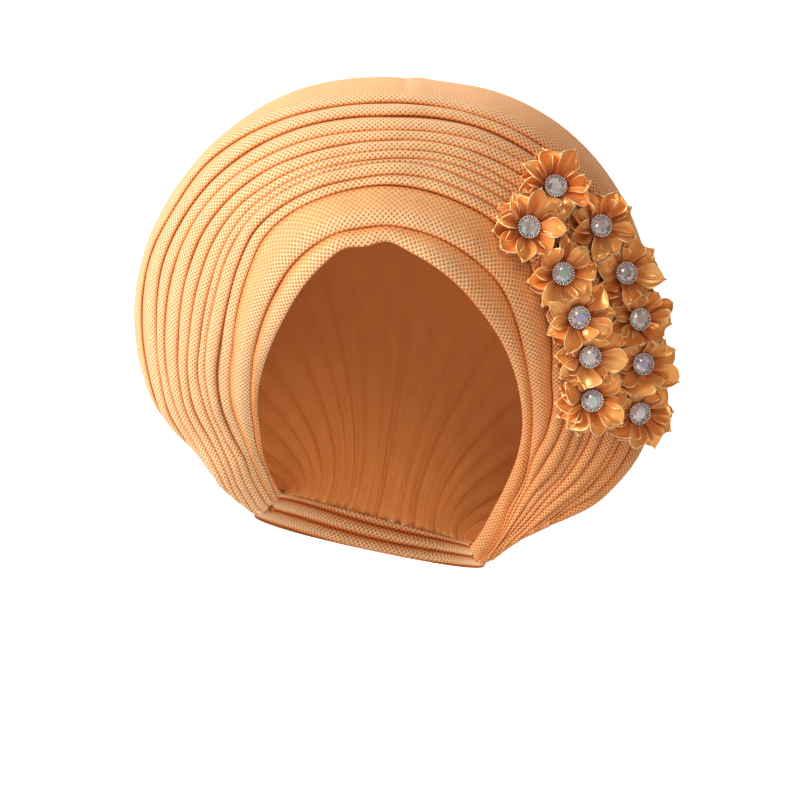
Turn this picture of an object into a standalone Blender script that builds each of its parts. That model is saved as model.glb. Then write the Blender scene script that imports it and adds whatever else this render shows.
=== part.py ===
"""A tied gele head tie with eleven satin ribbon flowers, at its real size in metres, +Z up.

The origin is the middle of the wearer's head at eye level. The face looks along -Y, and the
wearer's left is at +X. Places on the wrap are given by a bearing in degrees, measured in the
XZ plane from straight up and growing towards +X, and by a share of the way from the face
opening (0) to the rim (1) and on over the back to the nape (2).
"""

import math

import bpy
import numpy as np
from mathutils import Matrix, Vector
from mathutils.bvhtree import BVHTree

# The wrap as a whole
OPENING_REACH = 0.077       # origin to the cloth's edge on the forehead
RIM_REACH = 0.174           # origin to the rim over the crown
FOREHEAD_DEPTH = 0.084      # forehead edge in front of the origin
RIM_SETBACK = 0.010         # rim behind the origin
BACK_FULLNESS = 0.100       # how far the cloth runs back from the rim before it turns down
NAPE_BACK = 0.096           # nape band's upper edge behind the origin
NAPE_DROP = 0.074           # nape band's upper edge below the origin
NAPE_LIFT = 0.075           # how steadily the back rises out of the nape band
NAPE_BAND_HEIGHT = 0.020
NAPE_BAND_LEAN = 0.30       # forward step of the band's lower edge, as a share of its height
NAPE_BAND_FLARE = 1.05      # spread of the band's lower edge over its upper one's
NAPE_BAND_EDGE = 0.15       # rounded edge of the band as a share of its height
GATHER_THICKNESS = 0.009    # front and back cloth pressed together at a gather
GATHER_STEP = 0.005         # from the gathered cloth's end to the nape band's

# The cloth
CLOTH_WALL = 0.0016
BAND_WALL = 0.0024
FOLD_RISE = 0.0036          # height of a folded edge over the layer that it lies on
FOLD_ROLL = 0.0016          # width of the rounded folded edge
FOLD_SHOULDER = (0.15, 0.7) # where the edge turns, as shares of its roll and its rise
FOLD_STEEPNESS = 0.4        # most rise of a fold as a share of its layer's width
ROLL_LIMIT = 0.3            # most roll of a fold as a share of its layer's width
LAYER_BEND = (0.45, 0.68)   # where a wide layer bends, as shares of its width and its rise
LAYER_GAP = 0.0003

# The flowers
FLOWER_DIAMETER = 0.042
FLOWER_RISE = 0.0065        # petal tips above the flower's base
PETAL_STAND = 0.0110        # the same where a neighbour crowds a petal until it stands up
PETAL_COUNT = 8
PETAL_CORNERS = (
    # turn as a share of a petal's, reach, rise
    (0.00, 0.66, 0.20),
    (0.24, 0.95, 1.00),
    (0.70, 1.00, 1.00),
)
LOW_PETAL = 0.55            # rise of every second petal as a share of the others'
PETAL_BEND = (0.55, 0.35)   # where a petal bends up, as shares of its length and its rise
PETAL_WALL = 0.0012
FLOWER_FACING = 0.55        # 0 stands straight out of the cloth, 1 faces the front
SETTING_DIAMETER = 0.012
SETTING_HEIGHT = 0.0028
SETTING_RIM = 0.0010
SETTING_FLOOR = 0.0008
SETTING_SIDES = 10
STONE_RISE = 0.0014         # table above the setting's rim
STONE_TABLE = 0.6           # table width as a share of the stone's width
STONE_FACETS = 8
SEAT_GAP = 0.0004           # between a flower and the cloth, a setting and its flower
SEATING_ROUNDS = 3          # a flower's shape follows its neighbours' seats, and its seat its shape

# How finely the cloth is laid out
STATIONS = 37               # bearings from gather to gather
CURVE_STEPS = 160           # points along each half of a station's base curve
BEARING_STEP = 0.5          # degrees to each side, for the direction of the cloth

# The wrap's plan. Reaches are shares of OPENING_REACH and RIM_REACH, forward is a share of
# FOREHEAD_DEPTH.
PLAN = (
    # bearing, opening, rim, forward
    (-130, 1.080, 0.592, -0.10),
    (-118, 1.030, 0.618, 0.06),
    (-105, 0.970, 0.655, 0.21),
    (-95, 0.947, 0.732, 0.34),
    (-85, 0.920, 0.790, 0.45),
    (-70, 0.886, 0.859, 0.62),
    (-55, 0.884, 0.912, 0.76),
    (-40, 0.922, 0.954, 0.88),
    (-28, 0.966, 0.986, 0.95),
    (-18, 1.003, 1.000, 0.99),
    (-10, 0.982, 1.000, 1.00),
    (-2, 1.000, 0.996, 1.00),
    (8, 0.935, 0.994, 1.00),
    (20, 0.877, 1.005, 0.98),
    (32, 0.838, 0.999, 0.93),
    (45, 0.812, 0.971, 0.85),
    (60, 0.816, 0.920, 0.71),
    (75, 0.844, 0.868, 0.56),
    (90, 0.890, 0.839, 0.39),
    (105, 0.957, 0.792, 0.21),
    (118, 1.010, 0.724, 0.06),
    (130, 1.065, 0.653, -0.08),
    (140, 1.132, 0.623, -0.20),
    (150, 1.236, 0.629, -0.30),
)
GATHER_SPREAD = 34          # degrees over which the rim sinks back into a gather
FRONT_FLARE = 0.50          # how flat the front leaves the face
RIM_TURN = 0.40             # how roundly the front turns over the rim
BACK_ROUNDING = 0.7         # lower keeps the back full further towards the gathers

# Where each folded edge runs, as its place between opening (0), rim (1) and nape (2).
FOLD_BEARINGS = (-130, -105, -75, -40, 0, 30, 75, 105, 120, 135, 150)
FOLDS = (
    # name, share of FOLD_RISE, place at each of the bearings above
    ("face", 0.80, (0.00, 0.00, 0.00, 0.00, 0.00, 0.00, 0.00, 0.00, 0.00, 0.00, 0.00)),
    ("brow", 0.85, (0.13, 0.10, 0.11, 0.13, 0.10, 0.165, 0.12, 0.135, 0.20, 0.286, 0.60)),
    ("pleat_1", 0.80, (0.36, 0.29, 0.28, 0.38, 0.347, 0.387, 0.27, 0.242, 0.24, 0.33, 0.66)),
    ("pleat_2", 1.00, (0.62, 0.436, 0.37, 0.45, 0.406, 0.45, 0.38, 0.355, 0.30, 0.38, 0.72)),
    ("pleat_3", 0.70, (0.80, 0.52, 0.47, 0.517, 0.476, 0.508, 0.48, 0.467, 0.434, 0.46, 0.78)),
    ("pleat_4", 0.90, (0.96, 0.606, 0.52, 0.562, 0.51, 0.562, 0.56, 0.552, 0.51, 0.53, 0.84)),
    ("pleat_5", 1.00, (1.03, 0.72, 0.60, 0.624, 0.55, 0.605, 0.62, 0.613, 0.60, 0.60, 0.90)),
    ("pleat_6", 1.00, (1.08, 0.84, 0.684, 0.70, 0.613, 0.664, 0.70, 0.73, 0.706, 0.76, 0.96)),
    ("pleat_7", 0.80, (1.13, 0.93, 0.79, 0.783, 0.672, 0.724, 0.79, 0.842, 0.88, 0.95, 1.02)),
    ("pleat_8", 1.00, (1.18, 1.01, 0.852, 0.856, 0.762, 0.79, 0.87, 0.935, 0.97, 1.02, 1.08)),
    ("drape", 1.00, (1.24, 1.06, 0.946, 0.931, 0.842, 0.85, 0.93, 0.985, 1.03, 1.08, 1.14)),
)
GATHERED_RISE = 0.30        # what is left of a fold's height at the gathers
DRAPE_ROWS = (0.03, 0.07, 0.12, 0.20, 0.31, 0.45, 0.62, 0.80, 1.0)  # shares of its length

# The flowers: bearing, place of the middle between opening and rim, turn of the petals
FLOWERS = (
    (38.4, 0.665, 10),
    (39.5, 0.43, 32),
    (51.4, 0.74, 25),
    (54.9, 0.445, 5),
    (63.0, 0.78, 40),
    (67.9, 0.45, 18),
    (73.6, 0.815, 12),
    (79.6, 0.475, 38),
    (83.7, 0.82, 22),
    (92.0, 0.49, 8),
    (94.9, 0.845, 30),
)

COLOURS = {
    # finish: colour, roughness, metallic
    "cloth_front": ((0.93, 0.62, 0.33), 0.65, 0.0),
    "cloth_band": ((0.95, 0.68, 0.40), 0.65, 0.0),
    "cloth_back": ((0.85, 0.54, 0.28), 0.65, 0.0),
    "satin": ((0.90, 0.42, 0.12), 0.35, 0.0),
    "silver": ((0.80, 0.80, 0.82), 0.25, 1.0),
    "crystal": ((0.92, 0.93, 0.96), 0.05, 0.0),
}


def clear_scene():
    """Start from an empty scene."""
    for old in list(bpy.data.objects):
        bpy.data.objects.remove(old, do_unlink=True)


def finish(name):
    """The Principled material of one finish, made once."""
    material = bpy.data.materials.get(name)
    if material is None:
        material = bpy.data.materials.new(name)
        material.use_nodes = True
        colour, roughness, metallic = COLOURS[name]
        shader = material.node_tree.nodes["Principled BSDF"]
        shader.inputs["Base Color"].default_value = (*colour, 1.0)
        shader.inputs["Roughness"].default_value = roughness
        shader.inputs["Metallic"].default_value = metallic
    return material


def add_solid(name, points, faces, material):
    """Add a closed mesh as an object of its own."""
    mesh = bpy.data.meshes.new(name)
    mesh.from_pydata([tuple(p) for p in points], [], faces)
    mesh.validate()
    mesh.materials.append(finish(material))
    mesh.shade_smooth()
    mesh.set_sharp_from_angle(angle=math.radians(50))
    solid = bpy.data.objects.new(name, mesh)
    bpy.context.collection.objects.link(solid)
    return solid


def through(knots, values, at):
    """Smooth curve through hand-chosen values, with each slope taken from its neighbours."""
    knots = np.asarray(knots, float)
    values = np.asarray(values, float)
    slopes = np.gradient(values, knots)
    row = int(np.clip(np.searchsorted(knots, at) - 1, 0, len(knots) - 2))
    span = knots[row + 1] - knots[row]
    t = (at - knots[row]) / span
    return (
        values[row] * (1 - t) ** 2 * (1 + 2 * t)
        + values[row + 1] * t * t * (3 - 2 * t)
        + slopes[row] * span * t * (1 - t) ** 2
        - slopes[row + 1] * span * t * t * (1 - t)
    )


def bezier(points, t):
    """Points of a cubic curve at each parameter in t."""
    t = np.asarray(t)[:, None]
    a, b, c, d = (np.asarray(p, float) for p in points)
    return a * (1 - t) ** 3 + b * 3 * t * (1 - t) ** 2 + c * 3 * t * t * (1 - t) + d * t ** 3


def column(number):
    """One column of the plan."""
    return [row[number] for row in PLAN]


FIRST_BEARING = PLAN[0][0]
LAST_BEARING = PLAN[-1][0]


def gatheredness(bearing):
    """1 at a gather, falling smoothly to 0 towards the crown."""
    nearest = min(bearing - FIRST_BEARING, LAST_BEARING - bearing)
    t = min(max(1 - nearest / GATHER_SPREAD, 0.0), 1.0)
    return t * t * (3 - 2 * t)


def opening_point(bearing):
    """Place of the cloth's edge around the face."""
    reach = OPENING_REACH * through(column(0), column(1), bearing)
    depth = -FOREHEAD_DEPTH * through(column(0), column(3), bearing)
    angle = math.radians(bearing)
    return np.array((reach * math.sin(angle), depth, reach * math.cos(angle)))


def rim_point(bearing):
    """Place of the rim, which sinks back towards the opening's depth at the gathers."""
    reach = RIM_REACH * through(column(0), column(2), bearing)
    gathered = gatheredness(bearing)
    beside_opening = opening_point(bearing)[1] + GATHER_THICKNESS
    depth = RIM_SETBACK * (1 - gathered) + beside_opening * gathered
    angle = math.radians(bearing)
    return np.array((reach * math.sin(angle), depth, reach * math.cos(angle)))


def past_gather(bearing, inward):
    """Step from a gather to where the nape band starts, in line with the gathered cloth."""
    step = opening_point(bearing) - opening_point(bearing + inward)
    return step * (GATHER_STEP / np.linalg.norm(step))


def nape_curve(start, end, middle_back, middle_drop, spread):
    """Handles of the curve behind the neck that passes the middle at a given place."""
    back = (8 * middle_back - start[1] - end[1]) / 6
    drop = (8 * middle_drop + start[2] + end[2]) / 6
    tilt = (end[2] - start[2]) / 2
    left = np.array((start[0] * spread, back, -drop - tilt))
    right = np.array((end[0] * spread, back, -drop + tilt))
    return start, left, right, end


def nape_edges(share):
    """The nape band's upper and lower edge, at a share of the way from gather to gather."""
    behind = np.array((0, GATHER_THICKNESS, 0))
    left = past_gather(FIRST_BEARING, 1)
    right = past_gather(LAST_BEARING, -1)
    upper = nape_curve(
        opening_point(FIRST_BEARING) + behind + left,
        opening_point(LAST_BEARING) + behind + right,
        NAPE_BACK,
        NAPE_DROP,
        1.0,
    )
    lower = nape_curve(
        rim_point(FIRST_BEARING) + left,
        rim_point(LAST_BEARING) + right,
        NAPE_BACK - NAPE_BAND_HEIGHT * NAPE_BAND_LEAN,
        NAPE_DROP + NAPE_BAND_HEIGHT * math.sqrt(1 - NAPE_BAND_LEAN ** 2),
        NAPE_BAND_FLARE,
    )
    return bezier(upper, [share])[0], bezier(lower, [share])[0]


def base_curve(bearing):
    """Base line of the cloth at one bearing: points from opening to nape, and their places."""
    t = np.linspace(0, 1, CURVE_STEPS)
    edge = opening_point(bearing)
    rim = rim_point(bearing)
    outward = 3 * t * (1 - t) ** 2 * FRONT_FLARE + 3 * t * t * (1 - t) + t ** 3
    backward = 3 * t * t * (1 - t) * (1 - RIM_TURN) + t ** 3
    front = edge + (rim - edge) * outward[:, None]
    front[:, 1] = edge[1] + (rim[1] - edge[1]) * backward

    along = (bearing - FIRST_BEARING) / (LAST_BEARING - FIRST_BEARING)
    upper, lower = nape_edges(along)
    rise = (upper - lower) / np.linalg.norm(upper - lower)
    full = math.sin(math.pi * along) ** BACK_ROUNDING
    run = GATHER_THICKNESS + (BACK_FULLNESS - GATHER_THICKNESS) * full
    lift = GATHER_THICKNESS + (NAPE_LIFT - GATHER_THICKNESS) * full
    leave = rise * full + np.array((0, 1 - full, 0))
    back = bezier((rim, rim + np.array((0, run, 0)), upper + leave * lift, upper), t)
    return np.vstack((front, back[1:])), np.concatenate((outward, 1 + t[1:]))


class Station:
    """The cloth at one bearing, as a base line with lengths along it and a way out of it."""

    def __init__(self, bearing):
        self.bearing = bearing
        self.points, self.places = base_curve(bearing)
        steps = np.linalg.norm(np.diff(self.points, axis=0), axis=1)
        self.lengths = np.concatenate(([0], np.cumsum(steps)))
        before = base_curve(max(bearing - BEARING_STEP, FIRST_BEARING))[0]
        after = base_curve(min(bearing + BEARING_STEP, LAST_BEARING))[0]
        across = np.cross(after - before, np.gradient(self.points, axis=0))
        self.normals = across / np.linalg.norm(across, axis=1)[:, None]
        self.rise = FOLD_RISE * (1 - gatheredness(bearing) * (1 - GATHERED_RISE))

    def length_at(self, place):
        """Length along the base line at a place between opening, rim and nape."""
        return float(np.interp(place, self.places, self.lengths))

    def at(self, length, height):
        """The point at a length along the base line and a height over it."""
        point = [np.interp(length, self.lengths, self.points[:, k]) for k in range(3)]
        normal = [np.interp(length, self.lengths, self.normals[:, k]) for k in range(3)]
        return np.array(point) + height * np.array(normal)


def fold_length(station, number):
    """Where a folded edge lies on a station's base line."""
    places = FOLDS[number][2]
    return station.length_at(through(FOLD_BEARINGS, places, station.bearing))


def folded_edge(station, start, end, share):
    """Foot, shoulder and crest of a folded edge that starts a stretch of cloth."""
    roll = min(FOLD_ROLL, ROLL_LIMIT * (end - start))
    rise = min(station.rise * share, FOLD_STEEPNESS * (end - start))
    turn, height = FOLD_SHOULDER
    return [(start, 0.0), (start + turn * roll, height * rise), (start + roll, rise)]


def front_layer(station, first, last):
    """Outer line of one layer: its folds, each sloping down to the foot of the next."""
    gap = LAYER_GAP / math.sqrt(2)
    line = []
    for number in range(first, last):
        start = fold_length(station, number) + (gap if number == first else 0.0)
        end = fold_length(station, number + 1)
        line += folded_edge(station, start, end, FOLDS[number][1])
        if last - first == 1:
            crest_length, crest = line[-1]
            width, height = LAYER_BEND
            line.append((crest_length + width * (end - crest_length), height * crest))
    line.append((end - gap, 0.0))
    return line


def drape_layer(station):
    """Outer line of the smooth layer that turns over the rim and runs to the nape."""
    start = fold_length(station, len(FOLDS) - 1) + LAYER_GAP / math.sqrt(2)
    end = station.lengths[-1] - CLOTH_WALL - LAYER_GAP
    line = folded_edge(station, start, end, FOLDS[-1][1])
    crest_length, crest = line[-1]
    for share in DRAPE_ROWS:
        line.append((crest_length + share * (end - crest_length), crest * (1 - share) ** 2))
    return line


def wall_faces(rows, columns):
    """Faces of a wall between an outer and an inner grid of points, closed all round."""
    inner = rows * columns

    def at(row, column, side):
        return side * inner + row * columns + column

    faces = []
    for i in range(rows - 1):
        for j in range(columns - 1):
            ring = [(i, j), (i + 1, j), (i + 1, j + 1), (i, j + 1)]
            faces.append([at(*corner, 0) for corner in ring])
            faces.append([at(*corner, 1) for corner in reversed(ring)])
    last = columns - 1
    for i in range(rows - 1):
        faces.append([at(i, 0, 0), at(i, 0, 1), at(i + 1, 0, 1)])
        faces.append([at(i, 0, 0), at(i + 1, 0, 1), at(i + 1, 0, 0)])
        faces.append([at(i + 1, last, 1), at(i, last, 1), at(i, last, 0)])
        faces.append([at(i + 1, last, 0), at(i + 1, last, 1), at(i, last, 0)])
    for j in range(columns - 1):
        last = rows - 1
        faces.append([at(0, j, 0), at(0, j + 1, 0), at(0, j + 1, 1), at(0, j, 1)])
        faces.append([at(last, j, 1), at(last, j + 1, 1), at(last, j + 1, 0), at(last, j, 0)])
    return faces


def add_layer(name, stations, layer, material):
    """Build one layer of cloth from the outer lines that layer(station) gives."""
    outer = []
    inner = []
    for station in stations:
        for length, height in layer(station):
            outer.append(station.at(length, height))
            inner.append(station.at(length + CLOTH_WALL, height - CLOTH_WALL))
    columns = len(outer) // len(stations)
    return add_solid(name, outer + inner, wall_faces(len(stations), columns), material)


def add_nape_band(stations):
    """Build the strip behind the neck, a little proud of the drape that ends above it."""
    crown = BAND_WALL - CLOTH_WALL
    profile = ((0.0, 0.0), (NAPE_BAND_EDGE, crown), (1 - NAPE_BAND_EDGE, crown), (1.0, 0.0))
    span = LAST_BEARING - FIRST_BEARING
    outer = []
    inner = []
    for station in stations:
        share = (station.bearing - FIRST_BEARING) / span
        upper, lower = nape_edges(share)
        before = nape_edges(max(share - BEARING_STEP / span, 0.0))[0]
        ahead = nape_edges(min(share + BEARING_STEP / span, 1.0))[0] - before
        down = (lower - upper) / np.linalg.norm(lower - upper)
        out = np.cross(ahead, down)
        out /= np.linalg.norm(out)
        top = upper + down * LAYER_GAP
        for place, height in profile:
            point = top + (lower - top) * place
            outer.append(point + out * height)
            inner.append(point - out * CLOTH_WALL)
    faces = wall_faces(len(stations), len(profile))
    return add_solid("nape_band", outer + inner, faces, "cloth_band")


class FlowerPlace:
    """Middle, axes and room of one flower."""

    def __init__(self, row):
        bearing, place, turn = row
        station = Station(bearing)
        length = station.length_at(place)
        out = Vector(station.at(length, station.rise) - station.at(length, 0.0)).normalized()
        self.axis = out.lerp(Vector((0, -1, 0)), FLOWER_FACING).normalized()
        self.middle = Vector(station.at(length, station.rise))
        side = self.axis.cross(Vector((0, 0, 1))).normalized()
        turned = Matrix.Rotation(math.radians(turn), 3, self.axis)
        self.right = turned @ side
        self.up = self.axis.cross(self.right)

    def at(self, angle, radius, height):
        """A point of the flower, before it is seated on the cloth."""
        away = self.right * math.cos(angle) + self.up * math.sin(angle)
        return self.middle + away * radius + self.axis * height

    def crowding(self, angle, places):
        """For each neighbour, how far one step out and one step up lead towards it, and the room."""
        away = self.right * math.cos(angle) + self.up * math.sin(angle)
        others = [other for other in places if other is not self]
        steps = []
        for other in others:
            across = other.middle - self.middle
            towards = across.normalized()
            room = across.length / 2 - SEAT_GAP - PETAL_WALL
            steps.append((away.dot(towards), self.axis.dot(towards), room))
        return steps


def petal_outline():
    """Angles around a flower with the reach and rise there, as shares of a petal's."""
    outline = []
    for number in range(PETAL_COUNT):
        lift = 1.0 if number % 2 else LOW_PETAL
        for turn, reach, rise in PETAL_CORNERS:
            outline.append((2 * math.pi * (number + turn) / PETAL_COUNT, reach, rise * lift))
    return outline


def petal_growth(place, places, angle, reach, rise):
    """How far a petal goes out and up from its root before it meets a neighbour."""
    root = SETTING_DIAMETER / 2 + SEAT_GAP
    out = FLOWER_DIAMETER / 2 * reach - root
    up = FLOWER_RISE * rise
    crowding = place.crowding(angle, places)
    grown = 1.0
    for closing, leaning, room in crowding:
        wanted = out * closing + up * leaning
        if wanted > 0:
            left = room - root * closing - PETAL_WALL * leaning
            grown = min(grown, left / wanted)
    stand = (PETAL_STAND - FLOWER_RISE) * (1 - grown)
    for closing, leaning, room in crowding:
        if leaning > 0:
            used = (root + grown * out) * closing + (PETAL_WALL + grown * up) * leaning
            stand = max(min(stand, (room - used) / leaning), 0.0)
    return grown * out, grown * up + stand


def flower_mesh(place, places):
    """Points and faces of one flower: a round middle and cupped petals around it."""
    root = SETTING_DIAMETER / 2 + SEAT_GAP
    angles = []
    growth = []
    for angle, reach, rise in petal_outline():
        angles.append(angle)
        growth.append(petal_growth(place, places, angle, reach, rise))
    count = len(angles)
    along, above = PETAL_BEND
    rings = [[], [], [], [], [], []]
    for angle, (out, up) in zip(angles, growth):
        length = math.hypot((1 - along) * out, (1 - above) * up)
        behind = PETAL_WALL * (1 - above) * up / length
        under = PETAL_WALL * (1 - along) * out / length
        bend = (root + along * out, PETAL_WALL + above * up)
        tip = (root + out, PETAL_WALL + up)
        rings[0].append(place.at(angle, root, PETAL_WALL))
        rings[1].append(place.at(angle, *bend))
        rings[2].append(place.at(angle, *tip))
        rings[3].append(place.at(angle, tip[0] + behind, tip[1] - under))
        rings[4].append(place.at(angle, bend[0] + behind, bend[1] - under))
        rings[5].append(place.at(angle, root, 0.0))
    points = [point for ring in rings for point in ring]
    last = (len(rings) - 1) * count
    faces = [list(range(count)), list(range(last + count - 1, last - 1, -1))]
    for first in range(0, last, count):
        for k in range(count):
            n = (k + 1) % count
            faces.append([first + k, first + count + k, first + count + n, first + n])
    return points, faces


def turned_solid(place, lift, rings, sides):
    """Points and faces of a solid turned about a flower's axis. A ring of radius 0 is a point."""
    points = []
    starts = []
    for radius, height in rings:
        starts.append(len(points))
        for k in range(sides if radius > 0 else 1):
            points.append(place.at(2 * math.pi * k / sides, radius, lift + height))
    faces = []
    for ring in range(len(rings) - 1):
        lower, upper = starts[ring], starts[ring + 1]
        for k in range(sides):
            n = (k + 1) % sides
            if rings[ring][0] == 0:
                faces.append([lower, upper + n, upper + k])
            elif rings[ring + 1][0] == 0:
                faces.append([lower + k, lower + n, upper])
            else:
                faces.append([lower + k, lower + n, upper + n, upper + k])
    if rings[0][0] > 0:
        faces.append([starts[0] + k for k in reversed(range(sides))])
    if rings[-1][0] > 0:
        faces.append([starts[-1] + k for k in range(sides)])
    return points, faces


def setting_rings():
    """Section of the silver button: its back, its side, its rim and the cup for the stone."""
    outer = SETTING_DIAMETER / 2
    inner = outer - SETTING_RIM
    return ((outer, 0), (outer, SETTING_HEIGHT), (inner, SETTING_HEIGHT), (inner, SETTING_FLOOR))


def stone_rings():
    """Section of the stone: a point in the cup, a girdle at the rim and a flat table."""
    girdle = SETTING_DIAMETER / 2 - SETTING_RIM - LAYER_GAP / math.cos(math.pi / STONE_FACETS)
    return (
        (0, SETTING_FLOOR + LAYER_GAP),
        (girdle * math.cos(math.pi / SETTING_SIDES), SETTING_HEIGHT),
        (girdle * STONE_TABLE, SETTING_HEIGHT + STONE_RISE),
    )


def cloth_tree(cloths):
    """Search tree over all faces of the cloth."""
    points = []
    faces = []
    for cloth in cloths:
        first = len(points)
        points += [v.co.copy() for v in cloth.data.vertices]
        faces += [[first + k for k in p.vertices] for p in cloth.data.polygons]
    return BVHTree.FromPolygons(points, faces)


def seat_shift(points, faces, cloth):
    """How far along Y a flower moves until it all but meets the cloth behind it."""
    back = Vector((0, 1, 0))
    near = -FLOWER_DIAMETER
    far = FLOWER_DIAMETER
    while far - near > SEAT_GAP / 8:
        step = (near + far) / 2
        moved = BVHTree.FromPolygons([p + back * step for p in points], faces)
        if moved.overlap(cloth):
            far = step
        else:
            near = step
    return back * (near - SEAT_GAP)


def add_flowers(cloths):
    """Build every flower on the cloth, with its setting and its stone."""
    cloth = cloth_tree(cloths)
    places = [FlowerPlace(row) for row in FLOWERS]
    for _ in range(SEATING_ROUNDS):
        shifts = [seat_shift(*flower_mesh(place, places), cloth) for place in places]
        for place, shift in zip(places, shifts):
            place.middle += shift
    lift = PETAL_WALL + SEAT_GAP
    for number, place in enumerate(places, start=1):
        add_solid(f"flower_{number:02d}", *flower_mesh(place, places), "satin")
        button = turned_solid(place, lift, setting_rings(), SETTING_SIDES)
        add_solid(f"setting_{number:02d}", *button, "silver")
        stone = turned_solid(place, lift, stone_rings(), STONE_FACETS)
        add_solid(f"stone_{number:02d}", *stone, "crystal")


def main():
    """Build the whole head tie."""
    clear_scene()
    stations = [Station(b) for b in np.linspace(FIRST_BEARING, LAST_BEARING, STATIONS)]
    last_fold = len(FOLDS) - 1
    cloths = [
        add_layer("face_band", stations, lambda s: front_layer(s, 0, 1), "cloth_band"),
        add_layer("brow_wrap", stations, lambda s: front_layer(s, 1, 2), "cloth_front"),
        add_layer("pleated_fan", stations, lambda s: front_layer(s, 2, last_fold), "cloth_front"),
        add_layer("back_drape", stations, drape_layer, "cloth_back"),
    ]
    add_nape_band(stations)
    add_flowers(cloths)


main()
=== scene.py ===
"""A tied gele head tie with satin ribbon flowers, dressed for a studio picture.

The file is laid out as an add-on: the sizes and colours stand in property groups, each piece has
its operator, and a panel in the 3D view's sidebar lists them. Run as a script, it dresses the
packed model from the face band to the stage.

Places on the wrap are given by a bearing in degrees, from straight up and growing towards +X, and
by a place on the way from the face opening (0) to the rim (1) and over the back to the nape (2).
"""

import math

import bpy
import numpy as np
from bpy.props import FloatProperty, FloatVectorProperty, IntProperty, PointerProperty
from mathutils import Matrix, Vector


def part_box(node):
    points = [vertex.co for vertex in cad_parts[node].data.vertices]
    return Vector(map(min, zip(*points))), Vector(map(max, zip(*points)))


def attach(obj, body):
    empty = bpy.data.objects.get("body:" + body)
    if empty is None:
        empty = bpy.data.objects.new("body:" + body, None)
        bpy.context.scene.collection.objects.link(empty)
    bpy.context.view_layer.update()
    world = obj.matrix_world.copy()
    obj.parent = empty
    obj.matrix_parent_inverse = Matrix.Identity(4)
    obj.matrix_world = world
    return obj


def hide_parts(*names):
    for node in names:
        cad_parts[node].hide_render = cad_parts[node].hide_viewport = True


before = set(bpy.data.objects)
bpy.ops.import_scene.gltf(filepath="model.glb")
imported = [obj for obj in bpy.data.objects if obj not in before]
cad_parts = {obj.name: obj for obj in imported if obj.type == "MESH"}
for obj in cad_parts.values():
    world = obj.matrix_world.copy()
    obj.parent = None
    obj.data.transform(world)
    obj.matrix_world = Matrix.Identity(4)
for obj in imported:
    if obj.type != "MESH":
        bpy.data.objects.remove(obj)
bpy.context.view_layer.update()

bl_info = {
    "name": "Tied gele head tie",
    "version": (1, 0, 0),
    "blender": (4, 5, 0),
    "location": "3D View > Sidebar > Gele",
    "description": "Dresses the packed head tie with cloth, ribbon flowers, buttons and a stage",
    "category": "Add Mesh",
}

# The wrap's form, as the solids have it
OPENING_REACH = 0.077
RIM_REACH = 0.174
FOREHEAD_DEPTH = 0.084
RIM_SETBACK = 0.010
BACK_FULLNESS = 0.100
NAPE_BACK = 0.096
NAPE_DROP = 0.074
NAPE_LIFT = 0.075
NAPE_BAND_HEIGHT = 0.020
NAPE_BAND_LEAN = 0.30
NAPE_BAND_FLARE = 1.05
GATHER_THICKNESS = 0.009
GATHER_STEP = 0.005
GATHER_SPREAD = 34
GATHERED_RISE = 0.42
FRONT_FLARE = 0.50
RIM_TURN = 0.40
BACK_ROUNDING = 0.7
FLOWER_FACING = 0.55

PLAN = (
    # bearing, opening, rim, forward
    (-130, 1.080, 0.592, -0.10),
    (-118, 1.030, 0.618, 0.06),
    (-105, 0.970, 0.655, 0.21),
    (-95, 0.947, 0.732, 0.34),
    (-85, 0.920, 0.790, 0.45),
    (-70, 0.886, 0.859, 0.62),
    (-55, 0.884, 0.912, 0.76),
    (-40, 0.922, 0.954, 0.88),
    (-28, 0.966, 0.986, 0.95),
    (-18, 1.003, 1.000, 0.99),
    (-10, 0.982, 1.000, 1.00),
    (-2, 1.000, 0.996, 1.00),
    (8, 0.935, 0.994, 1.00),
    (20, 0.877, 1.005, 0.98),
    (32, 0.838, 0.999, 0.93),
    (45, 0.812, 0.971, 0.85),
    (60, 0.816, 0.920, 0.71),
    (75, 0.844, 0.868, 0.56),
    (90, 0.890, 0.839, 0.39),
    (105, 0.957, 0.792, 0.21),
    (118, 1.010, 0.724, 0.06),
    (130, 1.065, 0.653, -0.08),
    (140, 1.132, 0.623, -0.20),
    (150, 1.236, 0.629, -0.30),
)
FIRST_BEARING = PLAN[0][0]
LAST_BEARING = PLAN[-1][0]
TUCKED_BEARINGS = 4.6       # how far the layers run on past a gather, in degrees
ROUNDED_BEARINGS = 4.0      # how much of that is rounded off
TUCKED_CLOSING = 0.25       # how far those ends still part at the nape

# The folds in order from the face
FOLDS = (
    # name, share of the fold's rise, darkness of the painted shade line at the folded edge, width
    # of painted shade under the next fold, and share of rise and darkness that is left at the left
    # side
    ("face", 0.80, 0.6, 0.0052, 1.0),
    ("brow", 0.85, 0.95, 0.0036, 0.9),
    ("pleat_1", 0.95, 0.90, 0.0018, 0.45),
    ("pleat_2", 1.00, 1.00, 0.0018, 0.85),
    ("pleat_3", 0.75, 0.85, 0.0012, 0.8),
    ("pleat_4", 0.95, 1.00, 0.0016, 0.85),
    ("pleat_5", 1.00, 1.00, 0.0016, 0.85),
    ("pleat_6", 1.00, 1.00, 0.0018, 0.9),
    ("pleat_7", 0.85, 0.80, 0.0018, 0.8),
    ("pleat_8", 1.00, 1.00, 0.0016, 0.8),
    ("drape", 0.95, 0.95, 0.0010, 0.65),
)

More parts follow.
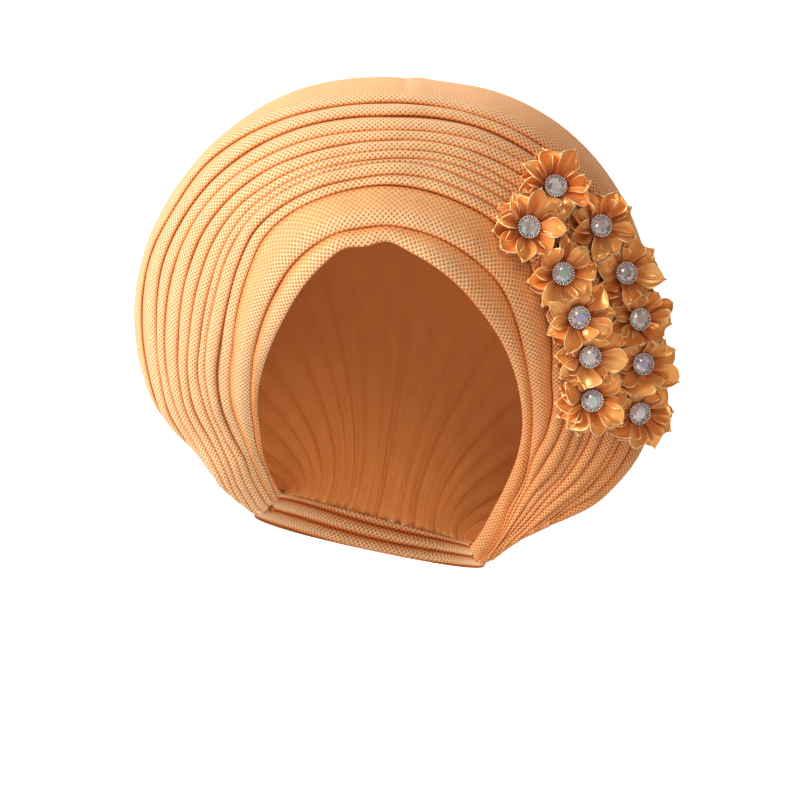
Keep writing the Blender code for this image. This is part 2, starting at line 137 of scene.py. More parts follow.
# How far from the origin each folded edge shows from the front, in steps of FRONT_STEP
FRONT_STEP = 0.00055
FRONT_DISTANCE = 1.6
FOLD_REACHES = (
    # bearing, brow, pleat_1, pleat_2, pleat_3, pleat_4, pleat_5, pleat_6, pleat_7, pleat_8, drape
    (-130, 155.9, 162.5, 170.0, 178.0, 184.0, 188.4, 190.2, 192.0, 193.8, 196.0),
    (-122, 150.0, 159.5, 167.0, 175.0, 182.5, 187.6, 191.5, 194.5, 197.0, 200.0),
    (-115, 148.5, 156.8, 163.5, 171.0, 179.4, 185.0, 191.5, 196.5, 201.5, 205.0),
    (-105, 144.0, 157.2, 167.2, 174.0, 180.5, 188.0, 196.0, 202.0, 207.5, 211.0),
    (-95, 142.0, 161.7, 172.8, 181.0, 187.6, 199.0, 206.6, 215.0, 222.5, 230.0),
    (-85, 141.5, 163.5, 176.5, 187.3, 194.9, 204.9, 213.8, 225.5, 232.5, 243.0),
    (-75, 143.3, 165.6, 178.3, 191.7, 198.3, 209.4, 220.6, 235.0, 243.3, 256.0),
    (-60, 147.9, 177.0, 187.9, 202.0, 209.3, 222.0, 235.7, 250.7, 262.0, 273.6),
    (-50, 152.9, 187.1, 199.3, 212.9, 220.0, 232.1, 245.7, 259.3, 270.0, 280.0),
    (-40, 159.3, 199.3, 210.7, 221.4, 228.6, 238.6, 251.0, 264.3, 276.1, 288.1),
    (-30, 163.9, 204.3, 214.3, 225.4, 231.4, 239.3, 252.4, 265.0, 278.6, 291.0),
    (-20, 166.1, 205.0, 215.0, 226.7, 231.9, 239.3, 250.7, 263.6, 278.1, 291.0),
    (-10, 165.0, 205.3, 213.9, 226.4, 230.7, 238.1, 249.3, 260.7, 276.0, 288.6),
    (0, 164.3, 205.3, 215.0, 227.4, 231.4, 238.6, 249.3, 259.0, 274.0, 287.1),
    (10, 161.4, 202.9, 214.3, 227.4, 233.0, 240.4, 250.7, 260.7, 275.7, 286.4),
    (20, 158.6, 200.0, 211.4, 223.6, 232.9, 240.4, 251.4, 262.9, 276.7, 286.7),
    (30, 155.7, 197.9, 210.0, 221.1, 231.0, 238.1, 250.7, 262.1, 274.7, 286.1),
    (45, 151.4, 190.0, 203.0, 215.5, 227.0, 236.0, 246.0, 257.0, 269.0, 279.0),
    (60, 142.8, 179.0, 193.0, 206.5, 218.5, 227.5, 236.5, 246.5, 256.5, 266.0),
    (75, 137.6, 166.4, 181.0, 194.5, 206.5, 216.0, 226.0, 236.0, 245.0, 254.0),
    (85, 138.1, 161.0, 176.5, 190.5, 202.0, 211.5, 222.0, 233.5, 242.0, 249.5),
    (95, 141.0, 162.5, 176.0, 188.5, 199.5, 207.5, 219.0, 231.5, 238.0, 247.0),
    (105, 146.5, 161.0, 173.5, 185.5, 195.5, 202.5, 213.5, 226.0, 231.5, 241.5),
    (115, 152.5, 158.0, 169.0, 182.7, 191.0, 196.4, 205.5, 216.5, 221.0, 228.6),
    (125, 160.5, 164.0, 169.0, 176.5, 184.0, 189.5, 195.5, 203.5, 207.7, 211.0),
    (135, 167.0, 170.5, 174.5, 179.8, 184.5, 188.6, 192.5, 196.5, 199.5, 202.5),
    (143, 180.0, 181.5, 183.5, 186.0, 188.0, 190.0, 192.5, 195.0, 197.5, 200.0),
    (150, 188.6, 190.2, 191.7, 193.3, 194.8, 196.4, 198.0, 199.5, 201.1, 202.6),
)

# The flowers: bearing and place of the middle, turn of the petals in degrees, petals
FLOWERS = (
    (38.4, 0.665, 10, 8),
    (39.5, 0.43, 32, 8),
    (51.4, 0.74, 25, 8),
    (54.9, 0.445, 5, 8),
    (63.0, 0.78, 40, 8),
    (67.9, 0.45, 18, 8),
    (73.6, 0.815, 12, 9),
    (79.6, 0.475, 38, 8),
    (83.7, 0.82, 22, 8),
    (92.0, 0.49, 8, 8),
    (94.9, 0.845, 30, 9),
)

EDGE_LIFT = 0.30            # height of a folded edge's lowest line as a share of its rise
NARROWEST_FOLD = 0.0008
NARROWEST_SECTION = 0.0010
FACE_ROUNDNESS = 0.0040     # most distance from a folded edge to its crest in the face band
BROW_ROUNDNESS = 0.0042     # and in the brow wrap
FOLD_WANDER = 0.10          # how much a fold's rise varies along its length
LEFT_SIDE = (-8, 28)        # degrees left of the crown over which the folds grow calmer
TURNED_AWAY = (0.84, 0.97)  # places between which a fold line leaves its shown reach
PAST_RIM = 1.3              # farthest place that a fold line can reach
GATHER_DIP = 0.0052         # how far the layers' ends turn in
NAPE_TUCK = 0.0015          # how far the drape runs on under the nape band
NAPE_FOLDS = 2.5
NAPE_WAVE = 0.0006          # height of the nape band's lengthwise folds
NAPE_OUTWARD = 0.0016       # how far the band's outer side lies out of its middle
NAPE_INWARD = 0.0015        # and its inner side in
NAPE_ENDS = (-0.018, 1.014)
TUCKED_HEIGHT = 0.0003      # height of a layer's end under the next layer
CROWN_TUCK = 0.0006         # depth of the small tuck at the crown
BACK_FOLD_BREADTHS = (2.2, 4.8)
BACK_FOLD_HEIGHTS = (0.0014, 0.0036)
BACK_FOLD_SPACINGS = (8.0, 15.0)

# How the cloth is coloured and its net drawn
LINE_WIDTH = 0.0008         # width of the shaded line beside a folded edge
SHADE_AT_RIGHT = 0.42      # share of painted orange shade laid over the cloth at the flowered side, away from the key light
RIGHT_SHADE_FROM = (5, 45)       # degrees right of the crown over which it sets in
DEEPEST_RIGHT_SHADE_FROM = (70, 115)    # and over which half as much is added
DRAWN_FINER = 0.22          # how much finer the net shows at the sides
DRAWN_LEFT = (20, 55)       # degrees left of the crown over which it grows finer
DRAWN_RIGHT = (60, 105)     # and to the right
BACK_MIDDLE = (0.0, -0.010, 0.035)
BACK_RADIUS = 0.135
BACK_FROM = 0.05            # share of the way from rim to nape at which the back begins
FADED_GROUND = (0.94, 0.50, 0.22)
CLOTH_SHEEN = (1.0, 0.85, 0.65)
# Painted shade towards each flower's middle, on the lower round of petals and on the backing
SATIN_SHADE = (0.50, 0.060, 0.005)
SATIN_SHINE = (1.0, 0.86, 0.66)
SATIN_SHEEN = (1.0, 0.60, 0.30)
SILVER_TONES = ((0.98, 0.98, 1.0), (0.86, 0.86, 0.90))
# Painted shade on each button's ring under and between its beads and claws
SHADED_SILVER = (0.26, 0.24, 0.29)

# How finely the cloth and the petals are laid out
STATIONS = 577
CURVE_STEPS = 200
SIGHT_STEPS = 60            # points tried on each line for where a fold shows
LIP_COLUMNS = 12            # points of a section from under its edge to its crest
DRAPE_STEPS = 96
NAPE_STATIONS = 241
NAPE_COLUMNS = 31
PETAL_STEPS = 17
PETAL_SPAN = 14

# The petals of a flower, and the round backing that they are sewn to
WHORLS = (
    # share of the flower's reach, lift, share of the petals' rise, turn in petals
    (1.00, 0.0004, 1.00, 0.0),
    (0.93, -0.0010, 0.30, 0.5),
)
OVERLAPPING = 1.15          # how far petals reach past the middle between two flowers
BETWEEN_FLOWERS = 0.0003    # room that is left before that middle
PETAL_ROOT = 0.0030         # distance from a flower's middle to its petals' roots
SHORTEST_SHARE = 0.35       # least share of its length that a crowded petal keeps
SHORTEST_PETAL = 0.007
NEXT_PETAL_LIFT = 0.0006    # how much higher every other petal lies
BACKING_RADIUS = 0.0085
BACKING_WALL = 0.0010
FLOWER_DEPTH = 0.0024       # how far a flower's root lies behind its button's middle

# A button's rings of beads and of claw tips
BEAD_RADIUS = 0.00054
BEAD_INSET = 0.00055        # from the button's outer edge to the beads' middles
BEAD_HEIGHT = 0.0011
CLAW_RADIUS = 0.00034
CLAW_HEIGHT = 0.0016
STONE_SHARE = 0.80          # a stone's radius as a share of its button's

# Starting numbers of the random draws
RISE_SEED = 70
DRAPE_SEED = 7
FLOWER_SEED = 200
STONE_SEED = 500

# The stage and the camera in front of the face opening
HEAD_TIE_MIDDLE = (0.0, 0.0, 0.03)
WALL_MIDDLE = (0.0, 2.2, -0.1)
WALL_POWER = 47.0
ROOM_COLOUR = (1.0, 0.90, 0.80, 1.0)
PAPER_TONES = ((0.82, 0.82, 0.82), (0.84, 0.84, 0.84))
CAMERA_PLACE = (0.0044, -1.6, -0.0055)
CAMERA_LENS = 130.9
DISPLAY_GAMMA = 0.84

# What is worked out once and kept
kept_wrap = {}
kept_materials = {}


def a_length(name, description, default, least):
    """A length for the sidebar."""
    return FloatProperty(name=name, description=description, default=default, min=least, unit="LENGTH")


def a_colour(name, description, default):
    """A colour for the sidebar."""
    return FloatVectorProperty(
        name=name, description=description, default=default, min=0.0, max=1.0, subtype="COLOR"
    )


class ClothSizes(bpy.types.PropertyGroup):
    """Sizes and colours of the woven cloth, with the colours of its painted shade."""

    wall: a_length("Cloth thickness", "Thickness of one layer of cloth", 0.0010, 0.0004)
    fold_rise: a_length(
        "Fold height", "Height of a folded edge over the layer under it", 0.0038, 0.0005
    )
    fold_reach: a_length(
        "Fold roundness", "Most distance from a folded edge to its crest", 0.0046, 0.001
    )
    overhang: a_length(
        "Overhang", "How far a folded edge hangs over the crease under it", 0.0007, 0.0
    )
    tuck: a_length("Tuck", "How far a layer runs on under the next one", 0.0024, 0.0005)
    mesh_along: a_length(
        "Diamonds along", "Width of one diamond of the net along the folds", 0.0029, 0.0005
    )
    mesh_across: a_length(
        "Diamonds across", "Height of one diamond of the net across the folds", 0.0031, 0.0005
    )
    thread_colour: a_colour("Thread", "Cream threads of the net", (1.0, 0.90, 0.68))
    ground_colour: a_colour("Ground", "Peach ground between the threads", (0.91, 0.45, 0.17))
    eyelet_colour: a_colour("Eyelets", "Small shaded eyelet in each diamond", (0.20, 0.055, 0.008))
    # Painted shade: the orange where a fold rolls under, also laid under each next fold and over the
    # flowered side
    orange_shade_colour: a_colour("Roll", "Deeper orange where a fold rolls under", (0.88, 0.29, 0.060))
    # Painted shade: the dark colour in each crease and along each folded edge
    crease_shade_colour: a_colour("Creases", "Colour deep in a crease", (0.22, 0.030, 0.001))


class FlowerSizes(bpy.types.PropertyGroup):
    """Sizes and colours of the ribbon flowers, with the painted highlight along the petal edges."""

    diameter: a_length("Flower diameter", "Across the petal tips of one flower", 0.043, 0.01)
    petal_width: a_length("Petal width", "Width of one petal at its widest", 0.0160, 0.004)
    petal_rise: a_length(
        "Petal rise", "How far the petal tips stand up from the flower's root", 0.0060, 0.0
    )
    crowded_rise: a_length(
        "Crowded rise", "The same where a neighbour pushes a petal upright", 0.0120, 0.0
    )
    ribbon_wall: a_length("Ribbon thickness", "Thickness of the folded ribbon", 0.0005, 0.0002)
    satin_colour: a_colour("Satin", "Colour of the ribbon", (1.0, 0.47, 0.15))
    # Painted highlight along each petal's edges and tip
    edge_highlight_colour: a_colour(
        "Sealed edge", "Lighter colour along a petal's sealed edge", (1.0, 0.80, 0.48)
    )


class ButtonSizes(bpy.types.PropertyGroup):
    """Sizes of the buttons and their stones."""

    diameter: a_length("Button diameter", "Across the beaded rim", 0.0126, 0.004)
    beads: IntProperty(
        name="Rim beads", description="Beads around a button's rim", default=26, min=8,
    )
    claws: IntProperty(
        name="Claws", description="Claw tips that hold a stone", default=13, min=4,
    )
    facets: IntProperty(
        name="Facets", description="Main facets around a stone", default=8, min=6,
    )


class StageSizes(bpy.types.PropertyGroup):
    """Light and backdrop."""

    key_power: FloatProperty(
        name="Key light", description="Power of the large soft light at the upper left",
        default=54.5, min=0.0, unit="POWER",
    )
    fill_power: FloatProperty(
        name="Fill light", description="Power of the soft light at the front",
        default=8.3, min=0.0, unit="POWER",
    )
    sky: FloatProperty(
        name="Room light", description="Strength of the even light all around",
        default=0.11, min=0.0,
    )
    floor_drop: a_length("Floor", "Floor below the middle of the head tie", 0.27, 0.0)


def through(knots, values, at):
    """Smooth curve through given values, with each slope taken from its neighbours."""
    knots = np.asarray(knots, float)
    values = np.asarray(values, float)
    slopes = np.gradient(values, knots)
    at = np.asarray(at, float)
    row = np.clip(np.searchsorted(knots, at) - 1, 0, len(knots) - 2)
    span = knots[row + 1] - knots[row]
    t = (at - knots[row]) / span
    return (
        values[row] * (1 - t) ** 2 * (1 + 2 * t)
        + values[row + 1] * t * t * (3 - 2 * t)
        + slopes[row] * span * t * (1 - t) ** 2
        - slopes[row + 1] * span * t * t * (1 - t)
    )


def smooth(value, low, high):
    """0 below low, 1 above high and a soft step between."""
    t = np.clip((value - low) / (high - low), 0, 1)
    return t * t * (3 - 2 * t)


def bezier(points, t):
    """Points of a cubic curve at each parameter in t. Handles may hold one row per station."""
    a, b, c, d = (np.asarray(p, float)[..., None, :] for p in points)
    t = np.asarray(t)[:, None]
    return a * (1 - t) ** 3 + b * 3 * t * (1 - t) ** 2 + c * 3 * t * t * (1 - t) + d * t ** 3


def column(number):
    """One column of the plan."""
    return [row[number] for row in PLAN]


def gatheredness(bearing):
    """1 at a gather, falling smoothly to 0 towards the crown."""
    nearest = np.minimum(bearing - FIRST_BEARING, LAST_BEARING - bearing)
    return smooth(1 - nearest / GATHER_SPREAD, 0, 1)


def on_bearing(bearing, reach, depth):
    """Points at a reach from the origin along each bearing."""
    angle = np.radians(bearing)
    return np.stack((reach * np.sin(angle), depth, reach * np.cos(angle)), axis=-1)


def opening_point(bearing):
    """Place of the cloth's edge around the face."""
    reach = OPENING_REACH * through(column(0), column(1), bearing)
    return on_bearing(bearing, reach, -FOREHEAD_DEPTH * through(column(0), column(3), bearing))


def rim_point(bearing):
    """Place of the rim, which sinks back towards the opening's depth at the gathers."""
    reach = RIM_REACH * through(column(0), column(2), bearing)
    gathered = gatheredness(bearing)
    beside_opening = opening_point(bearing)[..., 1] + GATHER_THICKNESS
    return on_bearing(bearing, reach, RIM_SETBACK * (1 - gathered) + beside_opening * gathered)


def past_gather(bearing, inward):
    """Step from a gather to where the nape band starts, in line with the gathered cloth."""
    step = opening_point(bearing) - opening_point(bearing + inward)
    return step * (GATHER_STEP / np.linalg.norm(step))


def nape_curve(start, end, middle_back, middle_drop, spread):
    """Handles of the curve behind the neck that passes the middle at a given place."""
    back = (8 * middle_back - start[1] - end[1]) / 6
    drop = (8 * middle_drop + start[2] + end[2]) / 6
    tilt = (end[2] - start[2]) / 2
    left = np.array((start[0] * spread, back, -drop - tilt))
    right = np.array((end[0] * spread, back, -drop + tilt))
    return start, left, right, end


def nape_edges(share):
    """The nape band's upper and lower edge, at shares of the way from gather to gather."""
    behind = np.array((0, GATHER_THICKNESS, 0))
    left = past_gather(FIRST_BEARING, 1)
    right = past_gather(LAST_BEARING, -1)
    upper = nape_curve(
        opening_point(FIRST_BEARING) + behind + left,
        opening_point(LAST_BEARING) + behind + right,
        NAPE_BACK,
        NAPE_DROP,
        1.0,
    )
    lower = nape_curve(
        rim_point(FIRST_BEARING) + left,
        rim_point(LAST_BEARING) + right,
        NAPE_BACK - NAPE_BAND_HEIGHT * NAPE_BAND_LEAN,
        NAPE_DROP + NAPE_BAND_HEIGHT * math.sqrt(1 - NAPE_BAND_LEAN ** 2),
        NAPE_BAND_FLARE,
    )
    return bezier(upper, share), bezier(lower, share)


def unit(vectors):
    """Vectors of length 1."""
    return vectors / np.linalg.norm(vectors, axis=-1, keepdims=True)


class Wrap:
    """The wrap's base surface: a line from opening to nape for each bearing."""

    def __init__(self, bearings):
        self.bearings = np.asarray(bearings, float)
        t = np.linspace(0, 1, CURVE_STEPS)
        edge = opening_point(self.bearings)
        rim = rim_point(self.bearings)
        outward = 3 * t * (1 - t) ** 2 * FRONT_FLARE + 3 * t * t * (1 - t) + t ** 3
        backward = 3 * t * t * (1 - t) * (1 - RIM_TURN) + t ** 3
        front = edge[:, None] + (rim - edge)[:, None] * outward[:, None]
        front[:, :, 1] = edge[:, None, 1] + (rim - edge)[:, None, 1] * backward

        along = (self.bearings - FIRST_BEARING) / (LAST_BEARING - FIRST_BEARING)
        inside = np.clip(along, 0, 1)
        along = inside + (along - inside) * TUCKED_CLOSING
        upper, lower = nape_edges(along)
        rise = unit(upper - lower)
        full = (np.sin(math.pi * inside).clip(0) ** BACK_ROUNDING)[:, None]
        run = GATHER_THICKNESS + (BACK_FULLNESS - GATHER_THICKNESS) * full
        lift = GATHER_THICKNESS + (NAPE_LIFT - GATHER_THICKNESS) * full
        leave = rise * full + np.array((0, 1, 0)) * (1 - full)
        back = bezier((rim, rim + run * np.array((0, 1, 0)), upper + leave * lift, upper), t)
        self.points = np.concatenate((front, back[:, 1:]), axis=1)
        self.places = np.concatenate((outward, 1 + t[1:]))
        steps = np.linalg.norm(np.diff(self.points, axis=1), axis=2)
        self.lengths = summed(steps, 1)
        self.normals = unit(
            np.cross(np.gradient(self.points, axis=0), np.gradient(self.points, axis=1))
        )
        self.gathered = gatheredness(self.bearings)

    def length_at(self, place):
        """Length along each station's line at one place, or at a place for each station."""
        place = np.broadcast_to(place, self.bearings.shape)
        rows = zip(place, self.lengths)
        return np.array([np.interp(p, self.places, line) for p, line in rows])

    def lay(self, lengths, heights):
        """Points at lengths along the stations' lines and heights over them."""
        laid = np.empty((*lengths.shape, 3))
        for i, line in enumerate(self.lengths):
            for k in range(3):
                base = np.interp(lengths[i], line, self.points[i, :, k])
                normal = np.interp(lengths[i], line, self.normals[i, :, k])
                laid[i, :, k] = base + heights[i] * normal
        return laid


def wander(bearings, seed, amount):
    """A slow irregular wave along the bearings, as a hand-laid fold has."""
    chance = np.random.default_rng(seed)
    wave = np.zeros(len(bearings))
    for span in (71.0, 37.0, 19.0, 11.0):
        wave += np.sin(bearings * (2 * math.pi / span) + chance.uniform(0, 2 * math.pi)) * span ** 0.5
    return wave * (amount / 12)


def kept_at_left(bearings, number):
    """Share of a fold's rise and of its line's darkness at each bearing."""
    return 1 - (1 - FOLDS[number][4]) * smooth(-bearings, *LEFT_SIDE)


def fold_rise(surface, number, sizes):
    """Height of one fold's crest at each station."""
    rise = sizes.fold_rise * FOLDS[number][1] * (1 - surface.gathered * (1 - GATHERED_RISE))
    rise = rise * kept_at_left(surface.bearings, number)
    return rise * (1 + wander(surface.bearings, RISE_SEED + number, FOLD_WANDER))


def seen_reach(points):
    """Distance from the middle at which points show from the front, in steps of FRONT_STEP."""
    shrink = FRONT_DISTANCE / (FRONT_DISTANCE + points[..., 1]) / FRONT_STEP
    return np.hypot(points[..., 0], points[..., 2]) * shrink


def fold_line(surface, number, sizes):
    """Length at which a folded edge lies on each station so that it shows at its reach."""
    table = np.array(FOLD_REACHES)
    reach = through(table[:, 0], table[:, number], surface.bearings)
    rim_length = surface.length_at(1.0)[:, None]
    edge = seen_reach(surface.points[:, 0])
    rim = seen_reach(surface.lay(rim_length, np.zeros((STATIONS, 1))))[:, 0]
    place = (reach - edge) / (rim - edge)
    by_place = surface.length_at(np.clip(place, 0.0, PAST_RIM))
    lengths = rim_length * np.linspace(0, 1, SIGHT_STEPS)
    lift = (EDGE_LIFT * fold_rise(surface, number, sizes))[:, None] * np.ones(SIGHT_STEPS)
    seen = np.maximum.accumulate(seen_reach(surface.lay(lengths, lift)), axis=1)
    by_sight = np.array([np.interp(r, row, line) for r, row, line in zip(reach, seen, lengths)])
    hidden = smooth(place, *TURNED_AWAY)
    return by_sight * (1 - hidden) + by_place * hidden


def wrap():
    """The wrap's surface and its fold lines, worked out once."""
    if not kept_wrap:
        first, last = FIRST_BEARING - TUCKED_BEARINGS, LAST_BEARING + TUCKED_BEARINGS
        surface = Wrap(np.linspace(first, last, STATIONS))
        sizes = bpy.context.scene.gele_cloth
        lines = [np.zeros(STATIONS)]
        for number in range(1, len(FOLDS)):
            line = fold_line(surface, number, sizes)
            lines.append(np.maximum(line, lines[-1] + NARROWEST_FOLD))
        kept_wrap["surface"] = surface
        kept_wrap["lines"] = lines
    return kept_wrap["surface"], kept_wrap["lines"]


def pairs(*columns):
    """Columns of lengths and heights as handles of a curve, a row for each station."""
    return [np.stack(np.broadcast_arrays(*column), axis=-1) for column in columns]


def rolled_edge(crest, rise, sizes):
    """Outer line of a fold in two parts, from under its edge up to its crest."""
    over = -sizes.overhang
    hem = (over, 0.34 * rise)
    under = pairs((0.5 * crest, 0 * rise), (0.1 * crest, -0.02 * rise), (over, 0 * rise), hem)
    front = pairs(hem, (over, 0.78 * rise), (0.40 * crest, rise), (crest, rise))
    return bezier(under, np.linspace(0, 1, 5))[:, :-1], bezier(front, np.linspace(0, 1, 9))[:, :-1]


def fold_section(width, rise, reach, sizes):
    """Outer line of a rolled fold, from under the edge over the crest to under the next fold."""
    crest = np.minimum(0.48 * width, reach)
    end = width + sizes.tuck
    fall = end - crest
    slope = pairs(
        (crest, rise),
        (crest + 0.34 * fall, rise),
        (crest + 0.60 * fall, 0.10 * rise),
        (end, 0 * rise + TUCKED_HEIGHT),
    )
    slope = bezier(slope, np.linspace(0, 1, 13))
    return np.concatenate((*rolled_edge(crest, rise, sizes), slope), axis=1)


def lined(section, every, least, wall):
    """A section closed by its reverse, and the outer columns that the reverse lies under."""
    under = np.arange(section.shape[1])[::-1][::every]
    inner = section[:, under]
    inner[:, :, 1] = np.minimum(inner[:, :, 1] - wall, -wall)
    inner[:, :, 0] = np.maximum(inner[:, :, 0], least[:, None])
    return np.concatenate((section, inner), axis=1), under


def ring_faces(rows, columns):
    """Faces around a tube of closed sections, without its two ends."""
    faces = []
    for i in range(rows - 1):
        here, there = i * columns, (i + 1) * columns
        for j in range(columns):
            n = (j + 1) % columns
            faces.append((here + j, there + j, there + n, here + n))
    return faces


def end_faces(rows, columns, outer):
    """Covers over both ends of a tube whose section is a thin wall, in triangles across the wall."""
    faces = []
    for row, flip in ((0, False), (rows - 1, True)):
        ring = [row * columns + j for j in range(columns)]
        low, high = 0, columns - 1
        steps_low = outer - 1
        steps_high = columns - outer - 1
        while steps_low > 0 or steps_high > 0:
            advance_low = steps_low * (columns - outer) >= steps_high * outer and steps_low > 0
            if advance_low or steps_high == 0:
                face = (ring[low], ring[low + 1], ring[high])
                low += 1
                steps_low -= 1
            else:
                face = (ring[low], ring[high - 1], ring[high])
                high -= 1
                steps_high -= 1
            faces.append(tuple(reversed(face)) if flip else face)
    return faces


def summed(steps, axis):
    """Running sum of steps, starting at 0."""
    return np.insert(np.cumsum(steps, axis=axis), 0, 0, axis=axis)


def cloth_spots(points, bearings, even):
    """Where each point lies on the flat cloth: along the folds from the forehead, and across them.

    The cloth is laid square to the folds, and drawn finer towards the sides. When it is laid even,
    each column follows its own length along the folds instead.
    """
    finer = smooth(-bearings, *DRAWN_LEFT) + smooth(bearings, *DRAWN_RIGHT)
    drawn = 1 + DRAWN_FINER * finer[:, None]
    steps = np.linalg.norm(np.diff(points, axis=0), axis=2) * (drawn[1:] + drawn[:-1]) / 2
    run = summed(steps, 0)
    run -= run[np.argmin(np.abs(bearings))]
    heading = unit(np.gradient(points, axis=0))
    crossing = np.diff(points, axis=1)
    ahead = np.sum(crossing * (heading[:, 1:] + heading[:, :-1]) / 2, axis=2)
    aside = np.sqrt(np.maximum(np.sum(crossing ** 2, axis=2) - ahead ** 2, 0)) * drawn
    across = summed(aside, 1)
    if even:
        return run, across
    along = summed(ahead * drawn, 1)
    return along - along[:, LIP_COLUMNS, None] + run[:, LIP_COLUMNS, None], across


def back_spots(points):
    """Where points of the back lie on the flat cloth, spread evenly from the middle of the back."""
    away = unit(points - np.array(BACK_MIDDLE))
    turn = np.arccos(np.clip(away[..., 1], -1, 1)) * BACK_RADIUS
    around = np.hypot(away[..., 0], away[..., 2]).clip(1e-6)
    return np.stack((away[..., 0], away[..., 2]), axis=-1) * (turn / around)[..., None]


def build_mesh(name, points, faces):
    """A mesh of plain points and faces."""
    mesh = bpy.data.meshes.new(name)
    mesh.from_pydata([tuple(p) for p in points], [], faces)
    return mesh


def paint(mesh, name, values, domain="POINT"):
    """Keep one number for each point or face on a mesh."""
    layer = mesh.attributes.new(name, "FLOAT", domain)
    layer.data.foreach_set("value", values.astype(np.float32).ravel())


def corner_points(mesh):
    """The number of the point at each corner of the faces."""
    corners = np.empty(len(mesh.loops), np.int32)
    mesh.loops.foreach_get("vertex_index", corners)
    return corners


def lay_flat(mesh, name, spots):
    """Keep each corner's place on the flat cloth or ribbon as a UV map."""
    mesh.uv_layers.new(name=name).data.foreach_set("uv", spots.astype(np.float32).ravel())


def put_in_scene(name, data):
    """A new object that shows a mesh, a lamp or a camera."""
    made = bpy.data.objects.new(name, data)
    bpy.context.scene.collection.objects.link(made)
    return made


def add_cloth(name, points, under, bearings, tones, materials, even=False, at_back=None):
    """Mesh of one layer: a thin closed section at each station, outer side first.

    under gives, for each point of the reverse, the column of the outer side that it lies under.
    Faces marked in at_back take their place on the cloth from the middle of the back.
    """
    rows, columns = points.shape[:2]
    outer = columns - len(under)
    sides = ring_faces(rows, columns)
    faces = sides + end_faces(rows, columns, outer)
    mesh = build_mesh(name, points.reshape(-1, 3), faces)

    spots = np.stack(cloth_spots(points[:, :outer], bearings, even), axis=-1)
    spots = np.concatenate((spots, spots[:, under]), axis=1).reshape(-1, 2)
    corners = corner_points(mesh)
    laid = spots[corners]
    if at_back is not None:
        chosen = np.flatnonzero(np.repeat(at_back[:-1].ravel(), 4))
        laid[chosen] = back_spots(points).reshape(-1, 2)[corners[chosen]]
    lay_flat(mesh, "cloth", laid)
    # The reverse's points take the full painted crease shade, which darkens the covers at each end
    for tone, values in tones.items():
        reverse = np.full((rows, columns - values.shape[1]), float(tone == "crease"))
        paint(mesh, tone, np.concatenate((values, reverse), axis=1))
    for material in materials:
        mesh.materials.append(material)
    if len(materials) > 1:
        slots = np.zeros(len(faces), np.int32)
        slots[: len(sides)] = np.arange(len(sides)) % columns >= outer - 1
        mesh.polygons.foreach_set("material_index", slots)
    mesh.shade_smooth()
    mesh.validate()
    return put_in_scene(name, mesh), cut_size(points[:, :outer])


def cut_size(points):
    """Length and width that a layer was cut to, measured over its outer side."""
    along = np.linalg.norm(np.diff(points, axis=0), axis=2).sum(axis=0)
    across = np.linalg.norm(np.diff(points, axis=1), axis=2).sum(axis=1)
    return float(along.mean()), float(across.mean())


def gather_end(surface):
    """How far the cloth turns in at its two ends, where it is tucked away."""
    bearings = surface.bearings
    span = np.minimum(bearings - bearings[0], bearings[-1] - bearings)
    left = np.clip(1 - span / ROUNDED_BEARINGS, 0, 0.995)
    return -GATHER_DIP * (1 - np.sqrt(1 - left ** 2))


def lay_fold(name, number, sizes, materials, reach=None):
    """One folded layer of the front, between two fold lines."""
    surface, lines = wrap()
    start, end = lines[number], lines[number + 1]
    width = np.maximum(end - start, NARROWEST_SECTION)
    rise = np.minimum(fold_rise(surface, number, sizes), 0.70 * width)
    section = fold_section(width, rise, reach or sizes.fold_reach, sizes)
    least = 0.5 * np.minimum(0.46 * width, sizes.fold_reach)
    ring, under = lined(section, 3, least, sizes.wall)
    heights = ring[:, :, 1] + gather_end(surface)[:, None]
    points = surface.lay(start[:, None] + ring[:, :, 0], heights)
    tones = fold_tones(section, width, rise, surface.bearings, number)
    return add_cloth(name, points, under, surface.bearings, tones, materials)


def line_darkness(bearings, number):
    """Darkness of the painted shade line at a folded edge, at each bearing."""
    if number == len(FOLDS):
        return np.zeros((len(bearings), 1))
    return (FOLDS[number][2] * kept_at_left(bearings, number))[:, None]


def fold_tones(section, width, rise, bearings, number):
    """Painted shade and highlight on each point of a fold: its dark line, orange shade and brighter
    net.
    """
    shade = FOLDS[number][3]
    own_line = line_darkness(bearings, number)
    next_line = line_darkness(bearings, number + 1)
    across, height = section[:, :, 0], section[:, :, 1] / rise[:, None]
    before_crest = np.arange(section.shape[1])[None, :] <= LIP_COLUMNS
    left = width[:, None] - across
    # Painted shade: a dark line under each folded edge, and orange shade over the lower part of each
    # roll
    lip_line = (1 - smooth(height, 0.36, 0.66)) * before_crest
    lip_orange_shade = (1 - smooth(height, 0.46, 0.92)) * before_crest
    # Painted shade: a dark line and orange shade where the layer runs under the next fold's edge
    far_line = 1 - smooth(left, 0.4 * LINE_WIDTH, LINE_WIDTH)
    far_orange_shade = 1 - smooth(left, 0.5 * LINE_WIDTH, 0.5 * LINE_WIDTH + shade)
    # Painted highlight, partly the net stretched open: brighter net over each crest, fading past it
    crest = across[:, LIP_COLUMNS, None]
    flat = smooth(across - crest, 0.0012, 0.0050)
    orange_shade = np.clip(lip_orange_shade + 0.7 * far_orange_shade, 0, 1)
    # Painted shade over the flowered side, which faces away from the key light
    right_shade = smooth(bearings, *RIGHT_SHADE_FROM) + 0.5 * smooth(bearings, *DEEPEST_RIGHT_SHADE_FROM)
    right_shade = SHADE_AT_RIGHT * right_shade[:, None]
    return {
        "crease": np.clip(lip_line * own_line + far_line * next_line, 0, 1),
        "orange_shade": np.clip(orange_shade + right_shade * (1 - orange_shade), 0, 1),
        "crest": (1 - flat) * (1 - orange_shade),
    }


